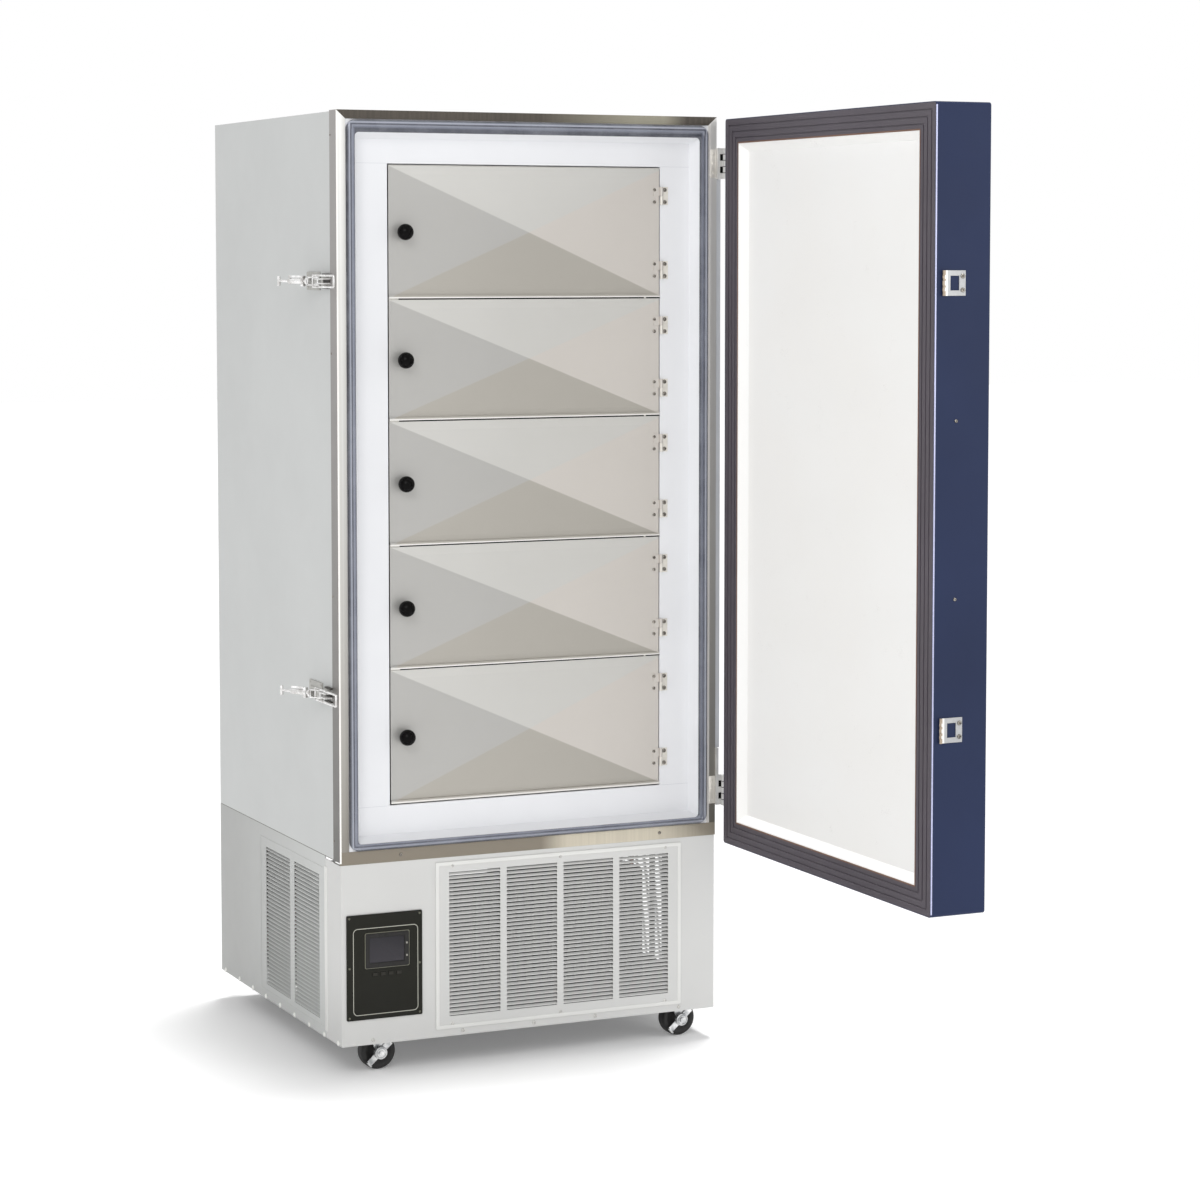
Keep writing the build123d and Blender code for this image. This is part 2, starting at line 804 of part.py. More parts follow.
def keeper(z):
    """Bent strike with a window, and a rolled bead behind which the loop's bar catches."""
    near = inner_plane - keeper_bead_place
    far = inner_plane - keeper_far
    bend = far + keeper_flat
    rise = door_left - keeper_ramp_rise
    half = keeper_height / 2
    outline = [(door_left, far), (door_left, bend), (rise, near), (rise - keeper_gauge, near),
               (door_left - keeper_gauge, bend), (door_left - keeper_gauge, far)]
    strike = prism_z(outline, z - half, z + half)
    bead = post(keeper_bead, rise - keeper_bead, near, z - half, z + half)
    bead -= block(rise - 2 * keeper_bead, rise - keeper_gauge, near - keeper_bead, near + keeper_bead,
                  z - keeper_notch / 2, z + keeper_notch / 2)
    reach = latch_ear_low + latch_ear_gauge + 2 * latch_side_gap + latch_cheek_gauge
    for side in (-1, 1):
        arm = sorted((z + side * (reach - keeper_arm_gap), z + side * (reach + 2 * latch_wire + keeper_arm_gap)))
        bead -= block(rise - 2 * keeper_bead - overrun, rise - keeper_gauge, near - overrun, near + overrun, *arm)
    strike += bead
    window = keeper_window_height / 2
    return strike - block(door_left - keeper_far, door_left + overrun, inner_plane - keeper_window_far,
                          inner_plane - keeper_window_near, z - window, z + window)


def louvred_sheet(width, height, columns, column_share, pitch_share, rows, pitch, row_bottom, gauge):
    """A sheet facing -Y with columns of slanting louvre blades, its low left front corner at the origin."""
    sheet = block(0, width, 0, gauge, 0, height)
    column_width = column_share * width
    column_pitch = pitch_share * width
    first = (width - (columns - 1) * column_pitch - column_width) / 2
    slant = [(0, 0), (louvre_depth, louvre_rise), (louvre_depth, louvre_rise + louvre_gauge), (0, louvre_gauge)]
    blade_face = make_face(Plane.YZ * Polyline(*slant, close=True))
    blades = []
    for number in range(columns):
        x = first + number * column_pitch
        sheet -= block(x, x + column_width, -overrun, overrun, row_bottom, row_bottom + rows * pitch)
        blade = extrude(blade_face, column_width, dir=(1, 0, 0))
        blades += [Pos(x, 0, row_bottom + louvre_lead + row * pitch) * blade for row in range(rows)]
    return sheet.fuse(*blades)


def front_grille():
    """Louvred front cover of the machinery."""
    sheet = louvred_sheet(grille_width, grille_height, front_columns, front_column_share, front_pitch_share,
                          louvre_rows, louvre_pitch, front_row_bottom, grille_proud)
    return Pos(left + grille_left, front - grille_proud, body_bottom + grille_bottom) * sheet


def side_sheet():
    """Louvred side panel, drawn facing -Y."""
    width = cabinet_depth - wing_length - rear_wing_length
    height = seam - body_bottom
    return louvred_sheet(width, height, side_columns, side_column_share, side_pitch_share,
                         louvre_rows, louvre_pitch, side_row_bottom, panel_gauge)


def lower_side_left():
    """Left louvred side panel."""
    return Pos(skin_left, back - rear_wing_length, body_bottom) * Rot(0, 0, -90) * side_sheet()


def lower_side_right():
    """Right louvred side panel."""
    return Pos(skin_right, front + wing_length, body_bottom) * Rot(0, 0, 90) * side_sheet()


def control_window(grow):
    """The place of the display module and keys, seen from the front."""
    x = left + control_left + bezel_left
    z = body_bottom + control_bottom + bezel_bottom
    return (x - grow, x + bezel_width + grow, z - key_drop - key_height - grow, z + bezel_height + grow)


def lower_front_panel():
    """Painted front cover with a wing round each corner, open behind the grille and the display."""
    cover = block(skin_left, skin_right, front, front + wing_length, body_bottom, trim_bottom)
    cover -= block(skin_left + panel_gauge, skin_right - panel_gauge, front + panel_gauge,
                   front + wing_length + overrun, body_bottom - overrun, trim_bottom + overrun)
    cover += block(skin_left + panel_gauge, skin_right - panel_gauge, front + panel_gauge,
                   front + panel_return, body_bottom, body_bottom + panel_gauge)
    x = left + grille_left + grille_rim
    z = body_bottom + grille_bottom + grille_rim
    cover -= block(x, x + grille_width - 2 * grille_rim, front - overrun, front + overrun,
                   z, z + grille_height - 2 * grille_rim)
    x_low, x_high, z_low, z_high = control_window(module_margin)
    return cover - block(x_low, x_high, front - overrun, front + overrun, z_low, z_high)


def rear_cover():
    """Painted rear cover with wings and louvres."""
    width = skin_right - skin_left
    sheet = louvred_sheet(width, seam - body_bottom, rear_columns, rear_column_share, rear_pitch_share,
                          rear_rows, rear_pitch, rear_row_bottom, panel_gauge)
    cover = Pos(skin_right, back, body_bottom) * Rot(0, 0, 180) * sheet
    for x in (skin_left, skin_right - panel_gauge):
        cover += block(x, x + panel_gauge, back - rear_wing_length, back - panel_gauge, body_bottom, seam)
    return cover


def caster_places():
    """Axes of the swivel casters in front and of the fixed ones behind, on the right, as (x, y)."""
    return (right - caster_inset_x, front + caster_inset_y), (right - rear_caster_inset_x, back - caster_inset_y)


def base_frame():
    """Two channel rails over the casters, two cross rails, the machinery pan and the caster plates."""
    pieces = []
    near = front + panel_return
    far = back - panel_return
    rail_x = right - caster_inset_x
    frame = None
    for x in (-rail_x, rail_x):
        rail = block(x - rail_width / 2, x + rail_width / 2, near, far, rail_bottom, rail_top)
        rail -= block(x - rail_width / 2 + rail_wall, x + rail_width / 2 - rail_wall, near - overrun,
                      far + overrun, rail_bottom + rail_wall, rail_top + overrun)
        frame = rail if frame is None else frame + rail
    for y in (near, far - rail_width):
        frame += block(-rail_x + rail_width / 2, rail_x - rail_width / 2, y, y + rail_wall, rail_bottom, rail_top)
    frame += block(-rail_x + rail_width / 2, rail_x - rail_width / 2, far - rail_width, far,
                   rail_bottom, rail_bottom + rail_wall)
    pieces.append(frame)
    rail_edge = rail_x + rail_width / 2
    edge = skin_right - panel_gauge
    pan = block(-rail_edge, rail_edge, near, far, rail_top, pan_top)
    for low, high in ((front + panel_gauge, front + wing_length), (back - rear_wing_length, back - panel_gauge)):
        for x_low, x_high in ((-edge, -rail_edge), (rail_edge, edge)):
            pan += block(x_low, x_high, low, high, rail_top, pan_top)
    pieces.append(pan)
    for side in (-1, 1):
        wall = side * (rail_edge - rail_wall)
        tip = side * (rail_edge - post_width)
        for y in (front + wing_length - post_width, far - post_width):
            corner = block(*sorted((side * rail_edge, tip)), y, y + post_width, pan_top, seam)
            corner -= block(*sorted((wall, tip - side * overrun)), y + rail_wall, y + post_width - rail_wall,
                            pan_top - overrun, seam + overrun)
            pieces.append(corner)
    for place, y in caster_places():
        for x in (-place, place):
            pieces.append(block(x - caster_plate_width / 2, x + caster_plate_width / 2,
                                y - caster_plate_length / 2, y + caster_plate_length / 2,
                                caster_height - caster_plate_gauge, caster_height))
    return pieces


def fork(trail_length):
    """Caster fork with its race and axle, drawn at the origin with the wheel's axle along Y."""
    half = wheel_width / 2 + hub_proud + fork_gap
    crown_top = caster_height - caster_plate_gauge - race_height
    crown_low = crown_top - crown_gauge
    body = post(race_radius, 0, 0, crown_top, caster_height - caster_plate_gauge - clearance)
    reach = max(race_radius, trail_length + fork_leg_width / 2)
    body += block(-race_radius, reach, -half - fork_gauge, half + fork_gauge, crown_low, crown_top)
    start = trail_length - fork_leg_width
    leg = [(start, crown_low), (trail_length + fork_leg_width / 2, crown_low),
           (trail_length + fork_leg_foot, wheel_radius), (trail_length, wheel_radius - fork_leg_foot),
           (trail_length - fork_leg_foot, wheel_radius)]
    for y in (-half - fork_gauge, half):
        body += prism_y(leg, y, y + fork_gauge)
    body += bar_y(axle_radius, trail_length, wheel_radius, -half - fork_gauge - pedal_gauge, half + fork_gauge)
    return body


def wheel():
    """Wheel on its hub, drawn with its axle through the origin along Y."""
    half = wheel_width / 2
    tyre = bar_y(wheel_radius, 0, 0, -half, half)
    tyre = chamfer(tyre.edges().filter_by(GeomType.CIRCLE), wheel_round)
    tyre += bar_y(hub_radius, 0, 0, -half - hub_proud, half + hub_proud)
    return tyre - bar_y(axle_radius + running_fit, 0, 0, -half - hub_proud - overrun, half + hub_proud + overrun)


def pedal():
    """Brake pedal on the axle's front end: a boss and two slanting arms, the lower one with a toe."""
    near = -(wheel_width / 2 + hub_proud + fork_gap + fork_gauge + clearance)
    arm = block(-pedal_lower, pedal_upper, near - pedal_gauge, near, -pedal_width / 2, pedal_width / 2)
    arm += block(-pedal_lower, -pedal_lower + pedal_gauge, near - pedal_toe, near, -pedal_width / 2,
                 pedal_width / 2)
    arm += bar_y(pedal_boss_radius, 0, 0, near - pedal_boss_height, near)
    arm = Rot(0, -pedal_angle, 0) * arm
    return arm - bar_y(axle_radius + running_fit, 0, 0, near - pedal_gauge, near + overrun)


def compressor():
    """Hermetic compressor on a foot plate, with its terminal cover."""
    shell = post(compressor_radius, 0, 0, compressor_foot_height, compressor_height)
    shell = chamfer(shell.edges().filter_by(GeomType.CIRCLE), compressor_dome)
    foot = block(-compressor_foot, compressor_foot, -compressor_foot, compressor_foot, 0, compressor_foot_height)
    shell += block(-compressor_foot / 2, compressor_foot / 2, -compressor_foot / 2, compressor_foot / 2,
                   compressor_foot_height, compressor_height / 2)
    middle = compressor_height / 2
    shell += block(-terminal_width / 2, terminal_width / 2, -compressor_radius - terminal_depth,
                   -compressor_radius / 2, middle - terminal_height / 2, middle + terminal_height / 2)
    return foot + shell


def machine_place(shares):
    """A place on the pan, from its shares of the cabinet's width and depth."""
    return shares[0] * cabinet_width, shares[1] * cabinet_depth


def compressors():
    """High stage and low stage compressors, side by side on the pan."""
    return [Pos(*machine_place(shares), pan_top) * compressor() for shares in compressor_shares]


def machine_middle():
    """Middle of the condenser and the fan, across and in height."""
    return left + grille_left + grille_width / 2, pan_top + condenser_height / 2


def condenser():
    """Finned condenser behind the front grille."""
    x = machine_middle()[0]
    near = front + condenser_setback
    half = condenser_width / 2
    core = block(x - half, x + half, near, near + condenser_depth, pan_top, pan_top + condenser_height)
    step = (condenser_width - 2 * condenser_end) / condenser_fins
    for number in range(condenser_fins):
        start = x - half + condenser_end + (number + 1 / 2) * step - condenser_fin_slot / 2
        core -= block(start, start + condenser_fin_slot, near - overrun, near + condenser_depth / 3,
                      pan_top + condenser_end, pan_top + condenser_height - condenser_end)
    return core


def fan_shroud():
    """Shroud box behind the condenser, with a ring for the fan and a strut for its motor."""
    x, z = machine_middle()
    near = front + condenser_setback + condenser_depth
    far = near + shroud_depth
    half_w = condenser_width / 2
    box = block(x - half_w, x + half_w, near, far, pan_top, pan_top + condenser_height)
    box -= block(x - half_w + shroud_wall, x + half_w - shroud_wall, near - overrun, far - shroud_wall,
                 pan_top + shroud_wall, pan_top + condenser_height - shroud_wall)
    box -= bar_y(fan_radius + fan_tip_gap, x, z, near, far + overrun)
    motor_near = far + fan_motor_gap
    motor = bar_y(fan_motor_radius, x, z, motor_near, motor_near + fan_motor_length)
    motor = chamfer(motor.edges().filter_by(GeomType.CIRCLE), fan_motor_gap)
    motor += block(x - motor_strut, x + motor_strut, motor_near + motor_strut, motor_near + 3 * motor_strut,
                   pan_top, z)
    motor -= bar_y(fan_shaft + running_fit, x, z, motor_near - overrun, motor_near + fan_motor_length / 2)
    return box, motor


def condenser_fan():
    """Five-bladed fan with its shaft."""
    x, z = machine_middle()
    far = front + condenser_setback + condenser_depth + shroud_depth
    middle = far - fan_hub_length / 2
    rotor = bar_y(fan_hub_radius, x, z, far - fan_hub_length, far)
    blade = Rot(fan_blade_angle, 0, 0) * Box(fan_radius - fan_hub_radius / 2, fan_blade_gauge, fan_blade_width)
    for number in range(fan_blades):
        turn = Rot(0, number * 360 / fan_blades, 0)
        rotor += Pos(x, middle, z) * turn * Pos((fan_radius + fan_hub_radius / 2) / 2, 0, 0) * blade
    rotor &= bar_y(fan_radius, x, z, far - shroud_depth, far + fan_motor_gap / 2)
    rotor += bar_y(fan_shaft, x, z, far - fan_hub_length, far + fan_motor_gap + fan_motor_length / 3)
    return rotor


def heat_exchanger():
    """Insulated cascade heat exchanger, and the lines from the compressors to it and to the condenser."""
    x, y = machine_place(exchanger_shares)
    drum = post(exchanger_radius, x, y, pan_top, pan_top + exchanger_height)
    drum = chamfer(drum.edges().filter_by(GeomType.CIRCLE).sort_by(Axis.Z)[-1], exchanger_dome)
    top = pan_top + compressor_height
    high = pan_top + exchanger_height + line_rise
    first, second = [machine_place(shares) for shares in compressor_shares]
    over = tube([(x, y, pan_top + exchanger_height), (x, y, high), (first[0], first[1], high),
                 (first[0], first[1], top)], line_radius, line_bend)
    middle_x, middle_z = machine_middle()
    end = front + condenser_setback + condenser_depth / 2
    across = middle_x + condenser_width / 2 - condenser_end
    down = tube([(second[0], second[1], top), (second[0], second[1], high), (across, second[1], high),
                 (across, end, high), (across, end, pan_top + condenser_height)], line_radius, line_bend)
    return drum, over, down


def electrical_box():
    """Control electronics box behind the control panel, and the power inlet on the rear cover."""
    x = skin_left + box_gap
    y = front + wing_length
    box = block(x, x + box_width, y, y + box_depth, pan_top, pan_top + box_height)
    box = fillet(box.edges().filter_by(Axis.Z), box_round)
    inlet_x = left + inlet_inset
    inlet = bar_y(inlet_radius, inlet_x, body_bottom + inlet_up, back, back + inlet_length)
    inlet -= bar_y(inlet_radius / 2, inlet_x, body_bottom + inlet_up, back + overrun, back + inlet_length + overrun)
    return box, inlet


def key_places():
    """Middles of the four keys under the display."""
    x = left + control_left + key_first
    z = body_bottom + control_bottom + bezel_bottom - key_drop
    return [(x + number * key_pitch, z) for number in range(key_count)]


def key_block(x, z, grow, y_low, y_high):
    """The outline of one key, grown all round."""
    half_w = key_width / 2 + grow
    half_h = key_height / 2 + grow
    return block(x - half_w, x + half_w, y_low, y_high, z - half_h, z + half_h)


def control_panel():
    """Black control plate with a window for the display and a hole for each key."""
    x = left + control_left
    z = body_bottom + control_bottom
    plate = rounded_plate(x, x + control_width, z, z + control_height, front - control_gauge, front, control_corner)
    x_low = x + bezel_left + module_margin
    z_low = z + bezel_bottom + module_margin
    plate -= block(x_low, x_low + bezel_width - 2 * module_margin, front - control_gauge - overrun,
                   front + overrun, z_low, z_low + bezel_height - 2 * module_margin)
    for key_x, key_z in key_places():
        plate -= key_block(key_x, key_z, key_gap, front - control_gauge - overrun, front + overrun)
    return plate


def display_module():
    """Bezel, screen, two status lamps and the board case behind the panel."""
    x = left + control_left + bezel_left
    z = body_bottom + control_bottom + bezel_bottom
    near = front - control_gauge
    bezel = rounded_plate(x, x + bezel_width, z, z + bezel_height, near - bezel_proud, near, bezel_corner)
    bezel += block(x + module_margin, x + bezel_width - module_margin, near, front,
                   z + module_margin, z + bezel_height - module_margin)
    screen_x = x + screen_left
    screen_z = z + screen_bottom
    pocket = (screen_x, screen_x + screen_width, near - bezel_proud - overrun, near, screen_z,
              screen_z + screen_height)
    bezel -= block(*pocket)
    screen = block(screen_x, screen_x + screen_width, near - bezel_proud + screen_sunk, near, screen_z,
                   screen_z + screen_height)
    lamps = []
    for share in lamp_shares:
        lamp = (lamp_radius, x + bezel_width - lamp_inset, z + share * bezel_height)
        bezel -= bar_y(*lamp, near - bezel_proud - overrun, near)
        lamps.append(bar_y(*lamp, near - bezel_proud - lamp_radius / 3, near))
    x_low, x_high, z_low, z_high = control_window(0)
    case = block(x_low, x_high, front, front + module_depth, z_low, z_high)
    for key_x, key_z in key_places():
        room = key_seat_gauge + key_travel
        case -= key_block(key_x, key_z, key_flange + key_gap, front - overrun, front + room)
    return [bezel, screen, case] + lamps


def control_key(x, z):
    """One key, held behind the plate by its flange."""
    near = front - control_gauge
    key = key_block(x, z, 0, near - key_proud, front + clearance)
    return key + key_block(x, z, key_flange, front + clearance, front + key_seat_gauge - clearance)


def on_open_door(shape):
    """A piece of the outer door, drawn shut and turned with it to stand open."""
    return turned(shape, hinge_x, hinge_y, 90)


def make_cabinet():
    """Cold cabinet, its trim, seals, chamber and shelves."""
    write("cabinet_shell", cabinet_shell())
    write("cabinet_back", cabinet_back())
    write("trim_frame", *trim_frame())
    write("breaker_frame", *breaker_frame())
    write("cabinet_gasket", cabinet_seal())
    write("chamber_liner", chamber_liner(), port_sleeve(), *shelf_rails())
    write("foam_insulation", foam_insulation())
    write("shelves", *shelves())
    write("evaporator_coil", *evaporator_coil())


def make_inner_doors():
    """Five inner doors with their knobs and hinges, numbered from the top."""
    bottom = doors_bottom
    frame_leaves = []
    count = len(inner_height_shares)
    for number, share in enumerate(inner_height_shares):
        top = bottom + share * inner_height
        name = str(count - number)
        panel, leaves = inner_door(bottom, top)
        write("inner_door_" + name, panel, *leaves)
        write("inner_door_knob_" + name, inner_knob(panel, bottom, top))
        frame_leaves += [inner_hinge_leaf(z) for z in inner_hinge_levels(bottom, top)]
        bottom = top
    write("inner_hinge_leaves", *frame_leaves)


def make_outer_door():
    """Outer door, its hinges and the cover strip between them."""
    write("door_skin", on_open_door(door_skin()))
    write("door_foam", on_open_door(door_foam()))
    write("door_liner", on_open_door(door_liner()))
    write("door_gasket", on_open_door(door_seal()))
    write("door_hinge_leaves", *[on_open_door(leaf) for leaf in door_hinge_leaves()])
    write("latch_keepers", *[on_open_door(keeper(level)) for level in latch_levels])
    write("cabinet_hinges", *cabinet_hinges())
    write("hinge_cover_strip", hinge_cover_strip())


def make_latches():
    """The two draw latches."""
    write("latch_bases", *[latch_base(level) for level in latch_levels])
    for name, level in zip(("lower", "upper"), latch_levels):
        write("latch_lever_" + name, latch_turned(latch_lever(level)))
        write("latch_loop_" + name, latch_shifted(latch_loop(level)))


def make_housing():
    """Lower housing and its covers."""
    write("base_frame", *base_frame())
    write("lower_front_panel", lower_front_panel())
    write("lower_side_left", lower_side_left())
    write("lower_side_right", lower_side_right())
    write("front_grille", front_grille())
    write("rear_cover", rear_cover())


def make_machinery():
    """Refrigeration and electrical parts."""
    write("compressors", *compressors())
    write("condenser", condenser())
    write("fan_shroud", *fan_shroud())
    write("condenser_fan", condenser_fan())
    write("cascade_heat_exchanger", *heat_exchanger())
    write("electrical_box", *electrical_box())


def make_controls():
    """Control panel, display and keys."""
    write("control_panel", control_panel())
    write("display_module", *display_module())
    for number, (x, z) in enumerate(key_places()):
        write("control_key_" + str(number + 1), control_key(x, z))


def make_casters():
    """Two braked swivel casters in front and two fixed ones behind."""
    (near_x, near_y), (far_x, far_y) = caster_places()
    for side, turn in (("left", -1), ("right", 1)):
        x = turn * near_x
        write("caster_fork_" + side, Pos(x, near_y, 0) * fork(trail))
        write("front_wheel_" + side, Pos(x + trail, near_y, wheel_radius) * wheel())
        write("brake_pedal_" + side, Pos(x + trail, near_y, wheel_radius) * pedal())
        write("rear_wheel_" + side, Pos(turn * far_x, far_y, wheel_radius) * Rot(0, 0, 90) * wheel())
    forks = [Pos(x, far_y, 0) * Rot(0, 0, 90) * fork(0) for x in (-far_x, far_x)]
    write("rear_caster_forks", *forks)


os.makedirs("parts", exist_ok=True)
make_cabinet()
make_inner_doors()
make_outer_door()
make_latches()
make_housing()
make_machinery()
make_controls()
make_casters()
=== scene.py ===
"""Looks of an upright ultra low temperature freezer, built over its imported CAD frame."""
import logging
import math
from dataclasses import dataclass
from enum import Enum
from typing import Callable, Sequence, Union

import bmesh
import bpy
from mathutils import Matrix, Vector


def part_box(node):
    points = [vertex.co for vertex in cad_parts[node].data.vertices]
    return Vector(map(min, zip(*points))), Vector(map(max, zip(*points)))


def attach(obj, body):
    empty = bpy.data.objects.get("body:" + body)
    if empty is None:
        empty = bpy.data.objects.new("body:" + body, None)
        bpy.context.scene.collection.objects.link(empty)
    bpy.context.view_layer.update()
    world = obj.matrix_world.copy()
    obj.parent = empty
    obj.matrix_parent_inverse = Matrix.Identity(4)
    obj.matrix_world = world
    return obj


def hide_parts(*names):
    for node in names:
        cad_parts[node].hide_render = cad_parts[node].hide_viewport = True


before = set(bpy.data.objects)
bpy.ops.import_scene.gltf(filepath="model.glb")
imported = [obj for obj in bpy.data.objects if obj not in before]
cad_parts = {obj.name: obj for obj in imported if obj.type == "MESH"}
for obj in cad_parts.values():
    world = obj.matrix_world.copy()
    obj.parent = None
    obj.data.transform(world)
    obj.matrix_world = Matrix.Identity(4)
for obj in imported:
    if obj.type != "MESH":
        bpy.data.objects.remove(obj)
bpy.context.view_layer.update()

log = logging.getLogger("freezer")

Pair = tuple[float, float]
Point = tuple[float, float, float]
Limits = tuple[float, float, float, float]
Colour = tuple[float, float, float]
EVEN: Point = (1.0, 1.0, 1.0)
NOISE_SPREAD: Pair = (0.3, 0.7)
DIRECT_RAYS = ("Is Camera Ray", "Is Glossy Ray", "Is Transmission Ray")


def linear(colour: Colour) -> tuple[float, float, float, float]:
    """Turns a screen colour into the linear one that a socket takes.

    Args:
        colour: red, green and blue from 0 to 255, as a screen shows them.

    Returns:
        Linear red, green, blue and an alpha of 1.
    """
    def channel(level: float) -> float:
        """One channel, from 0 to 255 on the screen to linear."""
        share = level / 255
        return share / 12.92 if share <= 0.04045 else ((share + 0.055) / 1.055) ** 2.4

    return (*(channel(level) for level in colour), 1.0)


def operator(operation: str, swapped: bool = False) -> Callable[..., "Value"]:
    """Makes a method of Value that adds one Math node.

    Args:
        operation: the Math node's operation.
        swapped: True where the value itself stands second.

    Returns:
        The method.
    """
    def method(self: "Value", other: "Operand" = 0.0) -> "Value":
        """Joins the value with another one."""
        return self.join(operation, other, self) if swapped else self.join(operation, self, other)

    return method


class Value:
    """A node's output that adds Math nodes when it stands in an expression."""

    def __init__(self, sheet: "ShaderSheet", socket: bpy.types.NodeSocket) -> None:
        """Keeps the sheet and the socket that carries the value."""
        self.sheet = sheet
        self.socket = socket

    def join(self, operation: str, first: "Operand", second: "Operand") -> "Value":
        """Adds one Math node.

        Args:
            operation: the Math node's operation.
            first: its first value.
            second: its second value.

        Returns:
            The node's result.
        """
        return self.sheet.node("ShaderNodeMath", {"operation": operation}, {0: first, 1: second})

    __add__ = operator("ADD")
    __radd__ = operator("ADD", swapped=True)
    __sub__ = operator("SUBTRACT")
    __rsub__ = operator("SUBTRACT", swapped=True)
    __mul__ = operator("MULTIPLY")
    __rmul__ = operator("MULTIPLY", swapped=True)
    __pow__ = operator("POWER")
    __gt__ = operator("GREATER_THAN")
    __lt__ = operator("LESS_THAN")
    __abs__ = operator("ABSOLUTE")
    greatest = operator("MAXIMUM")


Operand = Union[Value, float]


class ShaderSheet:
    """A node tree, with the few steps that the finishes, the floor and the world use."""

    def __init__(self, owner: Union[bpy.types.Material, bpy.types.World], surface: str) -> None:
        """Opens the node tree of a material or world whose surface shader has that name."""
        owner.use_nodes = True
        self.tree = owner.node_tree
        self.surface = self.tree.nodes[surface]

    def node(self, kind: str, settings: dict, sockets: dict, output: Union[int, str] = 0) -> Value:
        """Adds a node.

        Args:
            kind: the node's type.
            settings: attributes that are set before its sockets.
            sockets: values or links by socket name or number.
            output: the output to hand back.

        Returns:
            That output as a Value.
        """
        made = self.tree.nodes.new(kind)
        for setting, value in settings.items():
            if setting == "stops":
                ramp = made.color_ramp
                while len(ramp.elements) < len(value):
                    ramp.elements.new(0.5)
                for element, (place, colour) in zip(ramp.elements, value):
                    element.position = place
                    element.color = colour
            else:
                setattr(made, setting, value)
        for socket, value in sockets.items():
            self.feed(made.inputs[socket], value)
        return Value(self, made.outputs[output])

    def feed(self, socket: bpy.types.NodeSocket, value: object) -> None:
        """Sets or links one input socket.

        Args:
            socket: the input.
            value: a Value to link, or a plain value to set.
        """
        if isinstance(value, Value):
            self.tree.links.new(value.socket, socket)
        else:
            socket.default_value = value

    def place(self, stretch: Point = EVEN) -> Value:
        """Position on the object in metres, each axis multiplied by its stretch."""
        spot = self.node("ShaderNodeTexCoord", {}, {}, "Object")
        return self.node("ShaderNodeVectorMath", {"operation": "MULTIPLY"}, {0: spot, 1: stretch})

    def axis(self, letter: str) -> Value:
        """One axis, X, Y or Z, of the position on the object in metres."""
        spot = self.node("ShaderNodeTexCoord", {}, {}, "Object")
        return self.node("ShaderNodeSeparateXYZ", {}, {0: spot}, letter)

    def noise(self, scale: float, detail: float = 3.0, stretch: Point = EVEN) -> Value:
        """Cloudy noise from 0 to 1.

        Args:
            scale: cells per metre.
            detail: octaves.
            stretch: factor for each axis.

        Returns:
            The noise.
        """
        sockets = {"Vector": self.place(stretch), "Scale": scale, "Detail": detail}
        return self.node("ShaderNodeTexNoise", {}, sockets)

    def cloud(self, scale: float, amount: float = 1.0) -> Value:
        """Soft clouds from 0 to amount, scale of them per metre."""
        return self.span(self.noise(scale), *NOISE_SPREAD, 0.0, amount)

    def cells(self, scale: float) -> Value:
        """Distance to the nearest of scattered points, scale of them per metre."""
        return self.node("ShaderNodeTexVoronoi", {}, {"Vector": self.place(), "Scale": scale})

    def span(self, value: Value, low: float, high: float, to_low: float = 0.0, to_high: float = 1.0) -> Value:
        """Maps a value's span onto another, held at its ends.

        Args:
            value: what is mapped.
            low: its value at the span's start.
            high: its value at the span's end.
            to_low: the result at the start.
            to_high: the result at the end.

        Returns:
            The mapped value.
        """
        return self.node("ShaderNodeMapRange", {"clamp": True},
                         {0: value, 1: low, 2: high, 3: to_low, 4: to_high})

    def mix(self, factor: Operand, first: object, second: object) -> Value:
        """Mixes two colours.

        Args:
            factor: 0 for the first and 1 for the second.
            first: a colour or a link.
            second: a colour or a link.

        Returns:
            The mixed colour.
        """
        return self.node("ShaderNodeMix", {"data_type": "RGBA"}, {0: factor, 6: first, 7: second}, 2)

    def relief(self, height: Value, depth: float) -> None:
        """Feeds the surface's normal from a height of 0 to 1 that stands for depth metres."""
        sockets = {"Height": height, "Distance": depth, "Strength": 1.0}
        self.feed(self.surface.inputs["Normal"], self.node("ShaderNodeBump", {}, sockets))

    def seen_directly(self) -> Value:
        """1 for rays from the camera, off a mirror or through glass, else 0."""
        seen, *others = (self.node("ShaderNodeLightPath", {}, {}, ray) for ray in DIRECT_RAYS)
        for other in others:
            seen = seen.greatest(other)
        return seen

    def blend(self, first: Value, second: Value, output: str) -> None:
        """Shows one shader or another.

        Args:
            first: the shader that lights other things.
            second: the shader that is seen directly.
            output: name of the tree's output node.
        """
        blend = self.node("ShaderNodeMixShader", {}, {0: self.seen_directly(), 1: first, 2: second})
        self.feed(self.tree.nodes[output].inputs[0], blend)


class Grain(Enum):
    """How the fine structure of a surface runs."""

    PEEL = "sprayed paint"
    BRUSHED_X = "lines along X"
    BRUSHED_Y = "lines along Y"
    BRUSHED_Z = "lines along Z"
    CLOUDED = "plated clouds"
    SPECKLED = "rubber or moulded texture"
    CELLS = "foam cells"


ALONG_GRAIN = 0.02
STRETCHES: dict[Grain, Point] = {
    Grain.BRUSHED_X: (ALONG_GRAIN, 1.0, 1.0), Grain.BRUSHED_Y: (1.0, ALONG_GRAIN, 1.0),
    Grain.BRUSHED_Z: (1.0, 1.0, ALONG_GRAIN)}
PAINT_DETAIL = 2.0
METAL_DETAIL = 4.0


